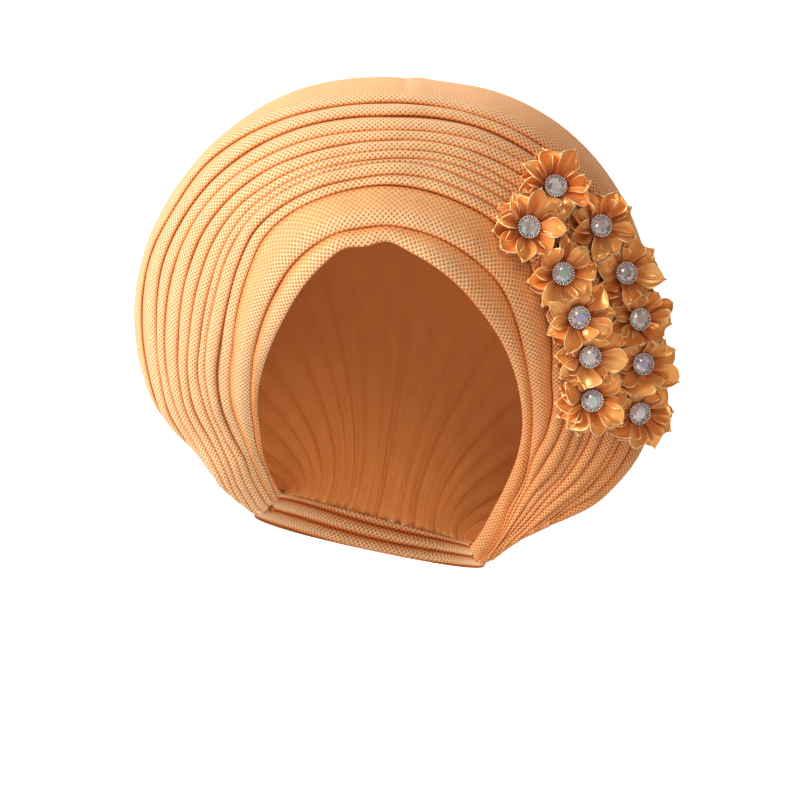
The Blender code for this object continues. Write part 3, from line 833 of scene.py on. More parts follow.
def lay_drape(name, sizes, materials):
    """The smooth layer that turns over the rim and runs down the back to the nape."""
    surface, lines = wrap()
    number = len(FOLDS) - 1
    rim = surface.length_at(1.0)[:, None]
    nape = surface.lengths[:, -1:]
    start = lines[number]
    width = nape[:, 0] + NAPE_TUCK - start
    rise = fold_rise(surface, number, sizes)
    crest = np.full_like(rise, sizes.fold_reach)
    share = np.linspace(0, 1, DRAPE_STEPS)[None, :] ** 1.15
    far = crest[:, None] + share * (width - crest)[:, None]
    settled = rise[:, None] * (1 - smooth(far, 0.004, 0.034))
    body = np.stack((far, settled), axis=-1)
    section = np.concatenate((*rolled_edge(crest, rise, sizes), body), axis=1)
    ring, under = lined(section, 2, 0.5 * crest, sizes.wall)
    lengths = start[:, None] + ring[:, :, 0]
    down = np.clip((lengths - rim) / (nape - rim), 0, 1)
    tucked = smooth(ring[:, :, 0], 0.006, 0.012) * (1 - smooth(down, 0.05, 0.2))
    folds = drape_folds(surface.bearings)[:, None] * smooth(down, 0.06, 0.95)
    folds -= crown_tuck(surface.bearings)[:, None] * tucked
    heights = ring[:, :, 1] + folds + 0.2 * gather_end(surface)[:, None]
    points = surface.lay(np.minimum(lengths, nape + NAPE_TUCK), heights)
    tones = fold_tones(section, width, rise, surface.bearings, number)
    at_back = down > BACK_FROM
    return add_cloth(name, points, under, surface.bearings, tones, materials, at_back=at_back)


def crown_tuck(bearings):
    """Depth of the small tuck that crosses the drape at the crown, beside a slight bulge."""
    tuck = CROWN_TUCK * np.exp(-(((bearings - 2.6) / 0.9) ** 2))
    return tuck - CROWN_TUCK * np.exp(-(((bearings - 5.4) / 1.8) ** 2))


def drape_folds(bearings):
    """Heights of the soft folds that run down the back into the nape band."""
    chance = np.random.default_rng(DRAPE_SEED)
    folds = np.zeros(len(bearings))
    at = FIRST_BEARING + 12.0
    while at < LAST_BEARING - 10:
        breadth = chance.uniform(*BACK_FOLD_BREADTHS)
        height = chance.uniform(*BACK_FOLD_HEIGHTS)
        folds += height * np.exp(-(((bearings - at) / breadth) ** 2))
        at += chance.uniform(*BACK_FOLD_SPACINGS)
    return folds


def lay_nape_band(name, materials):
    """The strip behind the neck, folded lengthwise, that the gathers are tucked into."""
    share = np.linspace(*NAPE_ENDS, NAPE_STATIONS)
    upper, lower = nape_edges(share)
    out = unit(np.cross(np.gradient(upper, axis=0), unit(lower - upper)))[:, None]
    t = np.linspace(0, 1, NAPE_COLUMNS)
    slant = t[None, :] + 0.05 * np.sin(share * 9.0)[:, None]
    waves = np.cos(slant * 2 * math.pi * NAPE_FOLDS)
    relief = (NAPE_WAVE * waves)[:, :, None]
    thinned = np.sin(math.pi * t)[:, None]
    across = upper[:, None] + (lower - upper)[:, None] * t[:, None]
    outside = across + out * (NAPE_OUTWARD * thinned ** 0.35 + relief)
    inside = across - out * (NAPE_INWARD + relief) * thinned ** 0.3
    under = np.arange(NAPE_COLUMNS)[-2:0:-1]
    points = np.concatenate((outside, inside[:, under]), axis=1)
    # Painted shade in the troughs of the band's folds, and a painted highlight on their tops
    tones = {
        "crease": 0.8 * smooth(-waves, 0.70, 1.0),
        "orange_shade": smooth(-waves, -0.2, 0.9),
        "crest": smooth(waves, -0.5, 0.6),
    }
    for tone, values in tones.items():
        tones[tone] = np.concatenate((values, values[:, under]), axis=1)
    bearings = FIRST_BEARING + share * (LAST_BEARING - FIRST_BEARING)
    return add_cloth(name, points, under, bearings, tones, materials, even=True)


class Wires:
    """Adds nodes to a tree and joins them."""

    def __init__(self, tree):
        self.tree = tree

    def put(self, value, slot):
        """Join an output to an input, or set the input to a number or a colour."""
        if isinstance(value, bpy.types.NodeSocket):
            self.tree.links.new(value, slot)
        elif slot.type == "RGBA":
            slot.default_value = (*value, 1.0)
        else:
            slot.default_value = value

    def fill(self, node, given):
        """Put a value into each named or numbered input of a node."""
        for slot, value in given.items():
            self.put(value, node.inputs[slot])

    def node(self, kind, given=None, **settings):
        """One node with its settings and its inputs."""
        made = self.tree.nodes.new(kind)
        for name, value in settings.items():
            setattr(made, name, value)
        self.fill(made, given or {})
        return made

    def math(self, operation, *values):
        """The result of a math node on outputs and numbers."""
        return self.node("ShaderNodeMath", dict(enumerate(values)), operation=operation).outputs[0]

    def times(self, first, second):
        """Product of two outputs or numbers."""
        return self.math("MULTIPLY", first, second)

    def step(self, value, low, high):
        """Soft step from 0 at low to 1 at high."""
        given = {"Value": value, "From Min": low, "From Max": high}
        made = self.node("ShaderNodeMapRange", given, interpolation_type="SMOOTHSTEP", clamp=True)
        return made.outputs["Result"]

    def mix(self, factor, first, second):
        """Mix of two colours, each an output or a colour."""
        made = self.node("ShaderNodeMix", {"Factor": factor}, data_type="RGBA")
        for name, value in (("A", first), ("B", second)):
            self.put(value, next(s for s in made.inputs if s.name == name and s.type == "RGBA"))
        return next(s for s in made.outputs if s.type == "RGBA")

    def attribute(self, name):
        """A number that is kept on the mesh."""
        return self.node("ShaderNodeAttribute", attribute_name=name).outputs["Fac"]

    def noise(self, scale, detail, vector=None):
        """Even noise on object coordinates, or on a vector."""
        vector = vector or self.node("ShaderNodeTexCoord").outputs["Object"]
        given = {"Scale": scale, "Detail": detail, "Vector": vector}
        return self.node("ShaderNodeTexNoise", given).outputs["Fac"]

    def flat_place(self, name):
        """Place on the flat cloth or ribbon."""
        return self.node("ShaderNodeUVMap", uv_map=name).outputs["UV"]

    def grain(self, name, stretch, scale, detail):
        """Drawn-out noise on the flat cloth or ribbon."""
        given = {"Scale": stretch, "Vector": self.flat_place(name)}
        return self.noise(scale, detail, self.node("ShaderNodeMapping", given).outputs["Vector"])

    def relief(self, height, distance, strength):
        """Normal of a relief."""
        given = {"Height": height, "Distance": distance, "Strength": strength}
        return self.node("ShaderNodeBump", given).outputs["Normal"]


def new_material(name):
    """An empty material with a helper for its nodes and its shader."""
    material = bpy.data.materials.new(name)
    material.use_nodes = True
    return material, Wires(material.node_tree), material.node_tree.nodes["Principled BSDF"]


def weave(wires):
    """Threads, eyelets and their light hearts of the net, on the flat cloth."""
    sizes = bpy.context.scene.gele_cloth
    split = wires.node("ShaderNodeSeparateXYZ", {0: wires.flat_place("cloth")})
    waver = wires.times(wires.math("SUBTRACT", wires.noise(260.0, 1.0), 0.5), 0.35)
    along = wires.math("DIVIDE", split.outputs[0], sizes.mesh_along)
    across = wires.math("DIVIDE", split.outputs[1], sizes.mesh_across)
    rising = wires.math("ADD", wires.math("ADD", along, across), waver)
    falling = wires.math("SUBTRACT", wires.math("SUBTRACT", along, across), waver)
    offsets = []
    for line in (rising, falling):
        aside = wires.math("SUBTRACT", wires.math("FRACT", line), 0.5)
        offsets.append(wires.math("ABSOLUTE", aside))
    thread = wires.math("MAXIMUM", *(wires.step(offset, 0.35, 0.455) for offset in offsets))
    squares = (wires.math("POWER", offset, 2.0) for offset in offsets)
    spread = wires.math("SQRT", wires.math("ADD", *squares))
    eyelet = wires.math("SUBTRACT", 1.0, wires.step(spread, 0.14, 0.23))
    heart = wires.math("SUBTRACT", 1.0, wires.step(spread, 0.04, 0.11))
    return thread, eyelet, heart


def net_cloth():
    """Woven cloth: cream threads that cross in diamonds over peach, an eyelet in each diamond, with
    painted shade and highlight.
    """
    sizes = bpy.context.scene.gele_cloth
    material, wires, shader = new_material("gele net cloth")
    thread, eyelet, heart = weave(wires)
    crest, orange_shade, crease = (wires.attribute(name) for name in ("crest", "orange_shade", "crease"))
    faded = wires.times(wires.noise(38.0, 3.0), 0.6)
    lit_ground = wires.mix(faded, sizes.ground_colour, FADED_GROUND)
    # Painted shade: the ground turns orange where a fold rolls under
    ground = wires.mix(orange_shade, lit_ground, sizes.orange_shade_colour)
    # Painted highlight: threads are dull on the flats and full cream on the crests
    quiet = wires.mix(0.40, sizes.thread_colour, sizes.ground_colour)
    bright = wires.mix(crest, quiet, sizes.thread_colour)
    # Painted shade: the threads dim towards orange there too
    dim = wires.mix(wires.times(orange_shade, 0.72), bright, sizes.orange_shade_colour)
    colour = wires.mix(thread, ground, dim)
    shown = wires.math("ADD", wires.times(crest, 0.66), 0.22)
    shown = wires.math("MINIMUM", wires.math("ADD", shown, wires.times(orange_shade, 0.40)), 0.95)
    colour = wires.mix(wires.times(eyelet, shown), colour, sizes.eyelet_colour)
    # Painted highlight: the eyelets' light hearts show on the crests
    colour = wires.mix(wires.times(heart, wires.times(crest, 0.55)), colour, sizes.thread_colour)
    # Painted shade: the dark crease line, a little lighter on the threads
    bitten = wires.times(crease, wires.math("SUBTRACT", 1.0, wires.times(thread, 0.35)))
    covered = wires.math("MAXIMUM", crease, wires.times(orange_shade, 0.8))
    open_share = wires.math("SUBTRACT", 1.0, covered)
    height = wires.math("SUBTRACT", thread, wires.times(eyelet, 0.6))
    wires.fill(shader, {
        "Base Color": wires.mix(bitten, colour, sizes.crease_shade_colour),
        "Roughness": 0.66,
        "Sheen Weight": wires.times(open_share, 0.18),
        "Sheen Roughness": 0.4,
        "Sheen Tint": CLOTH_SHEEN,
        "Specular IOR Level": wires.times(open_share, 0.22),
        "Normal": wires.relief(height, 0.0004, 0.7),
    })
    return material


def reverse_cloth():
    """The cloth's reverse: an even ground with a soft grain."""
    full = bpy.context.scene.gele_cloth.ground_colour
    material, wires, shader = new_material("gele cloth reverse")
    grain = wires.grain("cloth", (90.0, 40.0, 1.0), 1.0, 3.0)
    wires.fill(shader, {
        "Base Color": wires.mix(wires.step(grain, 0.20, 0.80), [0.92 * c for c in full], full),
        "Roughness": 0.75,
        "Specular IOR Level": 0.15,
        "Normal": wires.relief(grain, 0.0003, 0.4),
    })
    return material


def satin():
    """Glossy ribbon with fine lengthwise grain, painted highlights along the petal edges and painted
    shade towards the middle.
    """
    sizes = bpy.context.scene.gele_flowers
    plain = sizes.satin_colour
    material, wires, shader = new_material("gele satin ribbon")
    grain = wires.grain("ribbon", (12.0, 900.0, 1.0), 6.0, 2.0)
    tone, rim, deep = (wires.attribute(name) for name in ("tone", "rim", "deep"))
    colour = wires.mix(tone, plain, [min(1.0, c * 1.12 + 0.05) for c in plain])
    colour = wires.mix(wires.times(grain, 0.16), colour, [0.7 * c for c in plain])
    # Painted shade towards the flower's middle and on the lower round
    colour = wires.mix(wires.times(deep, 0.85), colour, SATIN_SHADE)
    wires.fill(shader, {
        # Painted highlight along the petal edges
        "Base Color": wires.mix(wires.times(rim, 0.90), colour, sizes.edge_highlight_colour),
        "Roughness": 0.29,
        "Metallic": 0.22,
        "Specular IOR Level": 1.0,
        "Specular Tint": SATIN_SHINE,
        "Sheen Weight": 0.30,
        "Sheen Roughness": 0.5,
        "Sheen Tint": SATIN_SHEEN,
        "Normal": wires.relief(grain, 0.00008, 0.35),
    })
    return material


def silver():
    """Bright silver with painted shade on the ring under and between its beads and claws."""
    material, wires, shader = new_material("gele silver")
    spots = wires.noise(700.0, 3.0)
    bead_shade = wires.attribute("bead_shade")
    wires.fill(shader, {
        "Base Color": wires.mix(bead_shade, wires.mix(spots, *SILVER_TONES), SHADED_SILVER),
        "Roughness": wires.math("ADD", wires.times(spots, 0.18), 0.12),
        "Metallic": 0.15,
        "Normal": wires.relief(spots, 0.00004, 0.3),
    })
    return material


def crystal():
    """Foil-backed cut stone whose facets carry painted reflections, light, dark and faintly coloured.
    """
    material, wires, shader = new_material("gele crystal")
    sway = wires.times(wires.noise(420.0, 1.0), 0.12)
    hue = wires.math("FRACT", wires.math("ADD", wires.attribute("facet_reflection"), sway))
    ramp = wires.node("ShaderNodeValToRGB", {"Fac": hue})
    # Painted reflections: each facet takes a light, dark or faintly coloured reflection from this ramp
    stops = (
        (0.00, (1.00, 0.97, 1.00)),
        (0.12, (0.30, 0.27, 0.33)),
        (0.24, (0.95, 0.90, 0.97)),
        (0.38, (0.66, 0.60, 0.70)),
        (0.50, (0.50, 0.86, 0.74)),
        (0.60, (1.00, 1.00, 1.00)),
        (0.72, (0.42, 0.37, 0.46)),
        (0.82, (1.00, 0.72, 0.60)),
        (0.91, (0.55, 0.60, 0.95)),
        (1.00, (1.00, 1.00, 1.00)),
    )
    ramp.color_ramp.elements[0].color = (*stops[0][1], 1.0)
    ramp.color_ramp.elements[1].color = (*stops[-1][1], 1.0)
    for place, colour in stops[1:-1]:
        ramp.color_ramp.elements.new(place).color = (*colour, 1.0)
    wires.fill(shader, {
        "Base Color": ramp.outputs["Color"],
        "Metallic": 0.15,
        "Roughness": 0.06,
        "Coat Weight": 1.0,
        "Coat Roughness": 0.02,
    })
    return material


def made_once(build):
    """The material that a function builds, built only the first time."""
    if build.__name__ not in kept_materials:
        kept_materials[build.__name__] = build()
    return kept_materials[build.__name__]


def settle(piece, slot, *nodes):
    """A finished piece takes the place of its solids, which are hidden, and is attached to the root
    body.
    """
    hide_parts(*nodes)
    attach(piece, "root")


def cloth_materials():
    """Outer side and reverse of the cloth."""
    return [made_once(net_cloth), made_once(reverse_cloth)]


class GELE_OT_face_band(bpy.types.Operator):
    """Lay the band around the face"""

    bl_idname = "gele.face_band"
    bl_label = "Face band"

    def execute(self, context):
        """Build the piece."""
        sizes = context.scene.gele_cloth
        piece, cut = lay_fold("face_band_cloth", 0, sizes, cloth_materials(), FACE_ROUNDNESS)
        settle(piece, "woven_cloth", "face_band")
        return {"FINISHED"}


class GELE_OT_brow_wrap(bpy.types.Operator):
    """Lay the broad wrap over the brow"""

    bl_idname = "gele.brow_wrap"
    bl_label = "Brow wrap"

    def execute(self, context):
        """Build the piece."""
        sizes = context.scene.gele_cloth
        piece, cut = lay_fold("brow_wrap_cloth", 1, sizes, cloth_materials(), BROW_ROUNDNESS)
        settle(piece, "woven_cloth", "brow_wrap")
        return {"FINISHED"}


class GELE_OT_pleats(bpy.types.Operator):
    """Lay the eight narrow pleats one over the other"""

    bl_idname = "gele.pleats"
    bl_label = "Pleats"

    def execute(self, context):
        """Build the pieces."""
        sizes = context.scene.gele_cloth
        for number in range(2, len(FOLDS) - 1):
            piece, cut = lay_fold(f"{FOLDS[number][0]}_cloth", number, sizes, cloth_materials())
            settle(piece, "woven_cloth", "pleated_fan")
        return {"FINISHED"}


class GELE_OT_back_drape(bpy.types.Operator):
    """Draw the last layer over the rim and down the back"""

    bl_idname = "gele.back_drape"
    bl_label = "Back drape"

    def execute(self, context):
        """Build the piece."""
        sizes = context.scene.gele_cloth
        piece, cut = lay_drape("back_drape_cloth", sizes, cloth_materials())
        settle(piece, "woven_cloth", "back_drape")
        return {"FINISHED"}


class GELE_OT_nape_band(bpy.types.Operator):
    """Lay the folded strip behind the neck"""

    bl_idname = "gele.nape_band"
    bl_label = "Nape band"

    def execute(self, context):
        """Build the piece."""
        piece, cut = lay_nape_band("nape_band_cloth", [made_once(net_cloth)])
        settle(piece, "woven_cloth", "nape_band")
        return {"FINISHED"}


class FlowerSeat:
    """Middle and axes of one flower, taken from the cloth and from the packed button."""

    def __init__(self, number):
        bearing, place, turn, self.petals = FLOWERS[number]
        near = Wrap([bearing - 0.5, bearing, bearing + 0.5])
        length = near.length_at(place)
        out = Vector(near.lay(length[:, None], np.full((3, 1), 0.01))[1, 0])
        out -= Vector(near.lay(length[:, None], np.zeros((3, 1)))[1, 0])
        self.axis = out.normalized().lerp(Vector((0, -1, 0)), FLOWER_FACING).normalized()
        low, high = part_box(f"setting_{number + 1:02d}")
        self.button = (Vector(low) + Vector(high)) / 2
        self.number = number
        side = self.axis.cross(Vector((0, 0, 1))).normalized()
        self.right = Matrix.Rotation(math.radians(turn), 3, self.axis) @ side
        self.up = self.axis.cross(self.right)

    def matrix(self, lift=0.0):
        """Turns an upright piece at the origin into place."""
        axes = Matrix((self.right, self.up, self.axis)).transposed().to_4x4()
        return Matrix.Translation(self.button + self.axis * lift) @ axes

    def crowding(self, angle, seats):
        """For each neighbour, how steps out and up lead towards it, and the room before it."""
        away = self.right * math.cos(angle) + self.up * math.sin(angle)
        found = []
        for other in seats:
            if other is not self:
                across = other.button - self.button
                towards = across.normalized()
                room = across.length / 2 - BETWEEN_FLOWERS
                found.append((away.dot(towards), self.axis.dot(towards), room))
        return found


def flower_seats():
    """The seats of all flowers."""
    return [FlowerSeat(number) for number in range(len(FLOWERS))]


def petal_grid(chance, length, width, rise, stand):
    """Points of one folded petal, its ribbon coordinates, painted edge highlight and painted root
    shade, lying along +X.
    """
    s = 1 - (1 - np.linspace(0, 1, PETAL_STEPS)[:, None]) ** 1.5
    even = np.linspace(-1, 1, PETAL_SPAN + 1)[None, :]
    t = 0.5 * even + 0.5 * np.sin(even * math.pi / 2)
    broad = chance.uniform(0.52, 0.66)
    beyond = np.clip((s - broad) / (1 - broad), 0, 1)
    tip = np.maximum(1 - beyond ** chance.uniform(1.35, 2.3), 0) ** chance.uniform(0.55, 0.90)
    half = width / 2 * np.maximum((0.24 + 0.76 * smooth(s, -0.08, broad)) * tip, 0.03)
    folded = chance.uniform(0.45, 0.95)
    uneven = 1 + chance.uniform(-0.75, 0.75) * np.sign(t)
    ridge = chance.uniform(-0.35, 0.35)
    side = folded * half * np.maximum(np.abs(t - ridge) - 0.10, 0) ** chance.uniform(1.0, 1.5) * uneven
    side = side * (1 - 0.50 * smooth(s, 0.55, 1.0)) * (0.2 + 0.8 * smooth(s, 0.12, 0.45))
    valley = -0.0010 * np.exp(-(((t - ridge) / 0.16) ** 2)) * (1 - smooth(s, 0.45, 0.95))
    ripple = 0.00050 * np.sin(t * chance.uniform(4, 8) + chance.uniform(0, 6)) * s
    curl = chance.uniform(-0.45, 0.50)
    lift = rise * np.sin(s * math.pi * 0.5) ** 1.3 + stand * s ** 1.6
    bent = -curl * 0.22 * length * smooth(s, 0.68, 1.0) ** 1.4
    y = t * half * (1 - 0.30 * folded * np.abs(t))
    twist = chance.uniform(-0.45, 0.45) * smooth(s, 0.05, 0.50)
    z = lift + side + valley + ripple + bent + y * np.tan(twist)
    sway = chance.uniform(-0.25, 0.25) * length * 0.28 * s ** 2
    pointed = chance.uniform(0.0, 0.07) * np.exp(-(((t - ridge) / 0.45) ** 2)) * smooth(s, 0.75, 1.0)
    x = length * s * (0.96 - 0.06 * np.abs(t) + pointed)
    # Painted highlight along the petal's sides and tip
    edge = np.maximum(smooth(np.abs(t), 0.90, 0.99) + 0 * s, smooth(s, 0.955, 0.995) + 0 * t)
    edge = edge * smooth(s, 0.22, 0.45)
    # Painted shade towards the petal's root
    deep = (1 - smooth(s, 0.12, 0.62)) * (1 - 0.45 * np.abs(t) ** 1.5)
    ribbon = np.stack((x, y + 0 * x), axis=-1)
    return np.stack((x, y + sway + 0 * x, z + 0 * x), axis=-1), ribbon, edge + 0 * x, deep + 0 * x


def petal_mesh(points, wall):
    """Points and faces of a petal with a ribbon's thickness."""
    rows, columns = points.shape[:2]
    normals = unit(np.cross(np.gradient(points, axis=0), np.gradient(points, axis=1)))
    lower = points - normals * wall
    count = rows * columns
    faces = []
    for i in range(rows - 1):
        for j in range(columns - 1):
            a, b = i * columns + j, (i + 1) * columns + j
            faces.append((a, b, b + 1, a + 1))
            faces.append((count + a + 1, count + b + 1, count + b, count + a))
    rim = list(range(columns))
    rim += [i * columns + columns - 1 for i in range(1, rows)]
    rim += [(rows - 1) * columns + j for j in range(columns - 2, -1, -1)]
    rim += [i * columns for i in range(rows - 2, 0, -1)]
    for k, a in enumerate(rim):
        b = rim[(k + 1) % len(rim)]
        faces.append((a, b, count + b, count + a))
    return np.concatenate((points.reshape(-1, 3), lower.reshape(-1, 3))), faces


def grow_petal(seat, seats, sizes, chance, whorl, k):
    """Points, ribbon places, painted edge highlight, painted root shade and faces of one petal in its
    place.
    """
    scale, lift, height, half_turn = whorl
    angle = 2 * math.pi * (k + half_turn) / seat.petals + chance.uniform(-0.13, 0.13)
    length = sizes.diameter / 2 * scale * chance.uniform(0.92, 1.06) - PETAL_ROOT
    raised = sizes.petal_rise * height * (1.0 if k % 2 else 0.55) * chance.uniform(0.8, 1.25)
    grown = 1.0
    for closing, leaning, room in seat.crowding(angle, seats):
        wanted = length * closing + raised * leaning
        if wanted > 0:
            grown = min(grown, (OVERLAPPING * room - PETAL_ROOT * closing) / wanted)
    grown = max(grown, SHORTEST_SHARE)
    stand = (sizes.crowded_rise - sizes.petal_rise) * min(1.0, 1.5 * (1 - grown))
    reach = max(length * grown, SHORTEST_PETAL)
    width = sizes.petal_width * chance.uniform(0.88, 1.10)
    grid, flat, rim, deep = petal_grid(chance, reach, width, raised * grown, stand)
    points, faces = petal_mesh(grid, sizes.ribbon_wall)
    points = points @ np.array(Matrix.Rotation(angle, 3, "Z")).T
    points = points + np.array((math.cos(angle), math.sin(angle), 0)) * PETAL_ROOT
    points = points + np.array((0, 0, lift + NEXT_PETAL_LIFT * (k % 2)))
    # The lower round of petals gets more painted shade
    return points, flat, rim, np.clip(deep + 0.30 * (half_turn > 0), 0, 1), faces


def grow_flower(seat, seats, sizes):
    """All petals of one flower as one mesh, an upper round over a lower one."""
    chance = np.random.default_rng(FLOWER_SEED + seat.number)
    spots, faces, ribbon, tones = [], [], [], {"rim": [], "deep": [], "tone": []}
    count = 0
    for whorl in WHORLS:
        for k in range(seat.petals):
            points, flat, rim, deep, petal = grow_petal(seat, seats, sizes, chance, whorl, k)
            spots.append(points)
            faces += [tuple(count + v for v in face) for face in petal]
            ribbon += [flat.reshape(-1, 2)] * 2
            tones["rim"] += [rim.ravel()] * 2
            tones["deep"] += [deep.ravel()] * 2
            tones["tone"] += [np.full(rim.size, chance.uniform(0, 1))] * 2
            count += len(points)
    return np.concatenate(spots), faces, np.concatenate(ribbon), tones


def level_ring(radius, height, count, turn=0.0):
    """Points of a level ring. Its first point is turned by a share of a step."""
    angles = [2 * math.pi * (k + turn) / count for k in range(count)]
    return [(radius * math.cos(angle), radius * math.sin(angle), height) for angle in angles]


def turned(rings, count):
    """Points and faces of a closed solid turned about Z, through rings of radius and height."""
    points, faces, starts = [], [], []
    for radius, height in rings:
        starts.append(len(points))
        points += level_ring(radius, height, count if radius else 1)
    for a, b in zip(range(len(rings) - 1), range(1, len(rings))):
        for k in range(count):
            n = (k + 1) % count
            if rings[a][0] == 0:
                faces.append((starts[a], starts[b] + n, starts[b] + k))
            elif rings[b][0] == 0:
                faces.append((starts[a] + k, starts[a] + n, starts[b]))
            else:
                faces.append((starts[a] + k, starts[a] + n, starts[b] + n, starts[b] + k))
    return np.array(points), faces


class GELE_OT_flowers(bpy.types.Operator):
    """Fold the satin ribbon flowers and sew them on"""

    bl_idname = "gele.flowers"
    bl_label = "Ribbon flowers"

    def execute(self, context):
        """Build the pieces."""
        sizes = context.scene.gele_flowers
        seats = flower_seats()
        backing, backing_faces = turned(
            (
                (0.0, -BACKING_WALL),
                (0.92 * BACKING_RADIUS, -BACKING_WALL),
                (BACKING_RADIUS, -BACKING_WALL / 2),
                (0.9 * BACKING_RADIUS, 0.0),
                (0.0, 0.0004),
            ),
            24,
        )
        for seat in seats:
            points, faces, ribbon, tones = grow_flower(seat, seats, sizes)
            faces += [tuple(len(points) + v for v in face) for face in backing_faces]
            name = f"ribbon_flower_{seat.number + 1:02d}"
            mesh = build_mesh(name, np.concatenate((points, backing)), faces)
            ribbon = np.concatenate((ribbon, backing[:, :2]))
            lay_flat(mesh, "ribbon", ribbon[corner_points(mesh)])
            for tone, values in tones.items():
                # The backing, under the petals, gets full painted shade
                under = np.full(len(backing), float(tone == "deep"))
                paint(mesh, tone, np.concatenate((*values, under)))
            mesh.materials.append(made_once(satin))
            mesh.shade_smooth()
            mesh.transform(seat.matrix(-FLOWER_DEPTH))
            settle(put_in_scene(name, mesh), "satin_ribbon", f"flower_{seat.number + 1:02d}")
        return {"FINISHED"}


def beaded_ring_tree():
    """Geometry nodes that set a ring of beads and a ring of claw tips on a button."""
    tree = bpy.data.node_groups.new("Beaded ring", "GeometryNodeTree")
    face = tree.interface
    face.new_socket("Geometry", in_out="OUTPUT", socket_type="NodeSocketGeometry")
    for name, kind in (
        ("Geometry", "Geometry"),
        ("Beads", "Int"),
        ("Ring Radius", "Float"),
        ("Ring Height", "Float"),
        ("Bead Radius", "Float"),
        ("Claws", "Int"),
        ("Claw Circle Radius", "Float"),
        ("Claw Height", "Float"),
        ("Claw Radius", "Float"),
        ("Metal", "Material"),
    ):
        face.new_socket(name, in_out="INPUT", socket_type=f"NodeSocket{kind}")
    wires = Wires(tree)
    given = {s.name: s for s in wires.node("NodeGroupInput").outputs if s.name}
    joined = wires.node("GeometryNodeJoinGeometry", {0: given["Geometry"]})
    rings = (
        ("Beads", "Ring Radius", "Ring Height", "Bead Radius", (1.0, 1.0, 1.0)),
        ("Claws", "Claw Circle Radius", "Claw Height", "Claw Radius", (1.5, 0.8, 0.8)),
    )
    for amount, radius, height, size, stretch in rings:
        measures = {"Vertices": given[amount], "Radius": given[radius]}
        circle = wires.node("GeometryNodeMeshCircle", measures)
        raised = wires.node("ShaderNodeCombineXYZ", {"Z": given[height]})
        lifted = {"Geometry": circle.outputs["Mesh"], "Offset": raised.outputs["Vector"]}
        moved = wires.node("GeometryNodeSetPosition", lifted)
        measures = {"Subdivisions": 2, "Radius": given[size]}
        bead = wires.node("GeometryNodeMeshIcoSphere", measures)
        spot = wires.node("GeometryNodeInputPosition").outputs[0]
        level = {0: spot, 1: (1.0, 1.0, 0.0)}
        level = wires.node("ShaderNodeVectorMath", level, operation="MULTIPLY").outputs[0]
        facing = wires.node("FunctionNodeAlignRotationToVector", {"Vector": level}, axis="X")
        instances = wires.node("GeometryNodeInstanceOnPoints", {
            "Points": moved.outputs["Geometry"],
            "Instance": bead.outputs["Mesh"],
            "Rotation": facing.outputs["Rotation"],
            "Scale": stretch,
        })
        wires.put(instances.outputs["Instances"], joined.inputs[0])
    real = wires.node("GeometryNodeRealizeInstances", {0: joined.outputs[0]})
    rounded = wires.node("GeometryNodeSetShadeSmooth", {"Geometry": real.outputs[0]})
    metal = {"Geometry": rounded.outputs[0], "Material": given["Metal"]}
    coated = wires.node("GeometryNodeSetMaterial", metal)
    wires.node("NodeGroupOutput", {0: coated.outputs[0]})
    return tree


class GELE_OT_buttons(bpy.types.Operator):
    """Set the silver buttons with their beaded rims and claws"""

    bl_idname = "gele.buttons"
    bl_label = "Buttons"

    def execute(self, context):
        """Build the pieces."""
        sizes = context.scene.gele_buttons
        radius = sizes.diameter / 2
        tree = beaded_ring_tree()
        ids = {s.name: s.identifier for s in tree.interface.items_tree if s.in_out == "INPUT"}
        profile = (
            (0.0, -0.0014),
            (radius * 0.86, -0.0014),
            (radius * 0.94, -0.0006),
            (radius * 0.93, 0.0006),
            (radius * 0.86, 0.0013),
            (radius * 0.80, 0.0012),
            (radius * 0.76, 0.0000),
            (0.0, -0.0004),
        )
        inputs = {
            "Beads": sizes.beads,
            "Ring Radius": radius - BEAD_INSET,
            "Ring Height": BEAD_HEIGHT,
            "Bead Radius": BEAD_RADIUS,
            "Claws": sizes.claws,
            "Claw Circle Radius": radius * STONE_SHARE,
            "Claw Height": CLAW_HEIGHT,
            "Claw Radius": CLAW_RADIUS,
            "Metal": made_once(silver),
        }
        points, faces = turned(profile, 40)
        outwards = np.hypot(points[:, 0], points[:, 1]) / radius
        # Painted shade on the ring under and between the beads and claws
        bead_shade = smooth(outwards, 0.74, 0.79) * (1 - smooth(outwards, 0.93, 0.95))
        for seat in flower_seats():
            name = f"button_{seat.number + 1:02d}"
            mesh = build_mesh(name, points, faces)
            paint(mesh, "bead_shade", bead_shade)
            mesh.materials.append(made_once(silver))
            blank = put_in_scene(f"{name}_blank", mesh)
            modifier = blank.modifiers.new("Beaded ring", "NODES")
            modifier.node_group = tree
            for label, value in inputs.items():
                modifier[ids[label]] = value
            context.view_layer.update()
            held = blank.evaluated_get(context.evaluated_depsgraph_get())
            finished = bpy.data.meshes.new_from_object(held)
            blank.modifiers.clear()
            bpy.data.objects.remove(blank, do_unlink=True)
            finished.name = name
            finished.transform(seat.matrix())
            piece = put_in_scene(name, finished)
            settle(piece, "silver_setting", f"setting_{seat.number + 1:02d}")
        return {"FINISHED"}


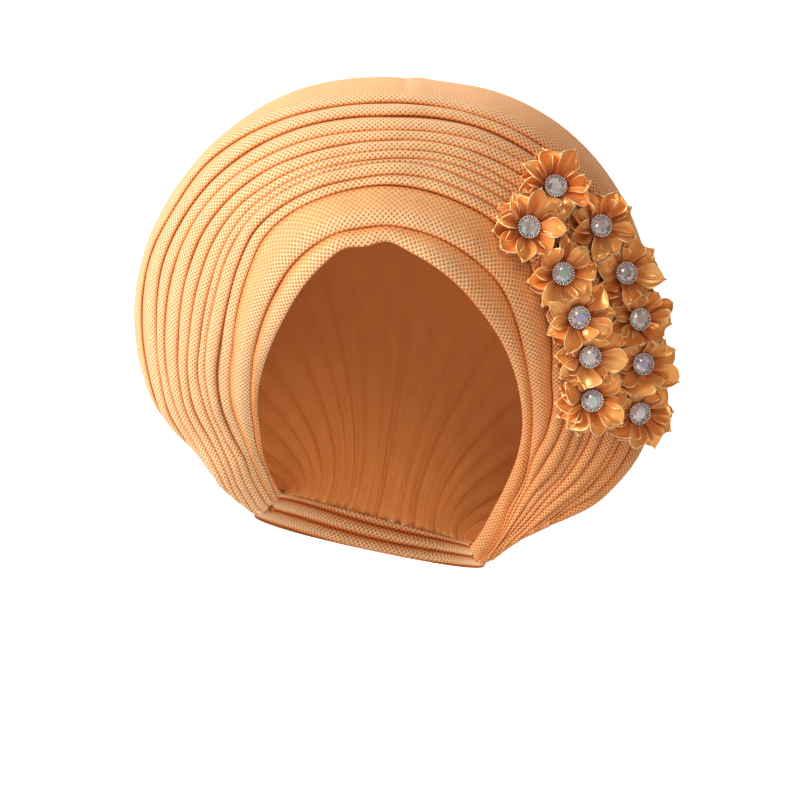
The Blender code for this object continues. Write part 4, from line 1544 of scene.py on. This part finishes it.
def cut_stone(radius, facets):
    """A brilliant: table, star and kite facets, girdle and a pointed back."""
    count = 2 * facets
    points = level_ring(0.52 * radius, 0.00175, facets)
    points += level_ring(0.76 * radius, 0.00125, facets, 0.5)
    points += level_ring(radius, 0.00040, count)
    points += level_ring(radius, 0.00020, count)
    points.append((0.0, 0.0, -0.0010))
    top, bottom = count, 2 * count
    faces = [tuple(range(facets))]
    for k in range(facets):
        before, after = facets + (k - 1) % facets, facets + k
        edge = top + 2 * k
        faces.append((k, after, (k + 1) % facets))
        faces.append((before, edge, after, k))
        faces.append((after, edge + 1, top + (2 * k + 2) % count))
        faces.append((after, edge, edge + 1))
    for k in range(count):
        n = (k + 1) % count
        faces.append((top + k, bottom + k, bottom + n, top + n))
        faces.append((bottom + k, len(points) - 1, bottom + n))
    return points, faces


class GELE_OT_stones(bpy.types.Operator):
    """Cut the clear stones and seat them in the buttons"""

    bl_idname = "gele.stones"
    bl_label = "Stones"

    def execute(self, context):
        """Build the pieces."""
        sizes = context.scene.gele_buttons
        points, faces = cut_stone(sizes.diameter / 2 * STONE_SHARE, sizes.facets)
        for seat in flower_seats():
            chance = np.random.default_rng(STONE_SEED + seat.number)
            name = f"button_stone_{seat.number + 1:02d}"
            mesh = build_mesh(name, points, faces)
            # A random painted reflection for each facet
            paint(mesh, "facet_reflection", chance.uniform(0, 1, len(faces)), "FACE")
            mesh.materials.append(made_once(crystal))
            mesh.transform(seat.matrix())
            settle(put_in_scene(name, mesh), "clear_stone", f"stone_{seat.number + 1:02d}")
        return {"FINISHED"}


def soft_light(name, place, size, power, colour, at=HEAD_TIE_MIDDLE):
    """One large area light that faces a point."""
    lamp = bpy.data.lights.new(name, "AREA")
    lamp.shape = "RECTANGLE"
    lamp.size, lamp.size_y = size
    lamp.energy = power
    lamp.color = colour
    light = put_in_scene(name, lamp)
    light.location = place
    light.rotation_euler = (Vector(at) - light.location).to_track_quat("-Z", "Y").to_euler()


def backdrop_mesh(drop):
    """Pale floor that bends up into a wall behind the head tie."""
    half_breadth = 4.0
    front, bend_from, top = -3.0, 1.2, 3.0
    bend, steps = 0.8, 12
    profile = [(front, drop), (bend_from, drop)]
    for k in range(1, steps + 1):
        angle = math.pi / 2 * k / steps
        profile.append((bend_from + bend * math.sin(angle), drop + bend * (1 - math.cos(angle))))
    profile.append((bend_from + bend, top))
    points = [(x, y, z) for x in (-half_breadth, half_breadth) for y, z in profile]
    count = len(profile)
    faces = [(k, k + count, k + count + 1, k + 1) for k in range(count - 1)]
    mesh = build_mesh("backdrop", points, faces)
    material, wires, shader = new_material("pale paper")
    paper = wires.mix(wires.noise(3.0, 2.0), *PAPER_TONES)
    wires.fill(shader, {"Base Color": paper, "Roughness": 0.9})
    mesh.materials.append(material)
    mesh.shade_smooth()
    return mesh


class GELE_OT_stage(bpy.types.Operator):
    """Set up the floor, the lights and the camera"""

    bl_idname = "gele.stage"
    bl_label = "Stage"

    def execute(self, context):
        """Build the stage."""
        sizes = context.scene.gele_stage
        backdrop = put_in_scene("backdrop", backdrop_mesh(-sizes.floor_drop))

        world = bpy.data.worlds.new("studio")
        world.use_nodes = True
        background = world.node_tree.nodes["Background"]
        background.inputs["Color"].default_value = ROOM_COLOUR
        background.inputs["Strength"].default_value = sizes.sky
        context.scene.world = world
        soft_light("key light", (-1.82, -1.10, 1.0), (0.8, 0.8), sizes.key_power, (1.0, 0.98, 0.94))
        soft_light("fill light", (0.38, -1.60, 0.68), (0.7, 0.7), sizes.fill_power, (1.0, 0.86, 0.70))
        white = (1.0, 1.0, 1.0)
        soft_light("backdrop light", (0.0, 0.6, 1.5), (2.4, 0.8), WALL_POWER, white, WALL_MIDDLE)

        lens = bpy.data.cameras.new("camera")
        lens.sensor_width = 36.0
        lens.lens = CAMERA_LENS
        camera = put_in_scene("camera", lens)
        camera.location = CAMERA_PLACE
        camera.rotation_euler = (math.pi / 2, 0.0, 0.0)
        context.scene.camera = camera
        context.scene.view_settings.view_transform = "Standard"
        context.scene.view_settings.gamma = DISPLAY_GAMMA
        return {"FINISHED"}


STEPS = (
    GELE_OT_face_band,
    GELE_OT_brow_wrap,
    GELE_OT_pleats,
    GELE_OT_back_drape,
    GELE_OT_nape_band,
    GELE_OT_flowers,
    GELE_OT_buttons,
    GELE_OT_stones,
    GELE_OT_stage,
)
GROUPS = (
    ("gele_cloth", ClothSizes),
    ("gele_flowers", FlowerSizes),
    ("gele_buttons", ButtonSizes),
    ("gele_stage", StageSizes),
)


class GELE_PT_panel(bpy.types.Panel):
    """Lists the pieces and their sizes."""

    bl_idname = "GELE_PT_panel"
    bl_label = "Tied gele head tie"
    bl_space_type = "VIEW_3D"
    bl_region_type = "UI"
    bl_category = "Gele"

    def draw(self, context):
        """Draw the buttons and the sizes."""
        for step in STEPS:
            self.layout.operator(step.bl_idname)
        for name, group in GROUPS:
            box = self.layout.box()
            box.label(text=group.__doc__)
            for size in group.__annotations__:
                box.prop(getattr(context.scene, name), size)


def register():
    """Register the sizes, the operators and the panel."""
    for name, group in GROUPS:
        bpy.utils.register_class(group)
        setattr(bpy.types.Scene, name, PointerProperty(type=group))
    for step in (*STEPS, GELE_PT_panel):
        bpy.utils.register_class(step)


def unregister():
    """Take all of it back."""
    for step in reversed((*STEPS, GELE_PT_panel)):
        bpy.utils.unregister_class(step)
    for name, group in reversed(GROUPS):
        delattr(bpy.types.Scene, name)
        bpy.utils.unregister_class(group)


def main():
    """Dress the whole head tie."""
    register()
    for step in STEPS:
        family, piece = step.bl_idname.split(".")
        getattr(getattr(bpy.ops, family), piece)()


if __name__ == "__main__":
    main()
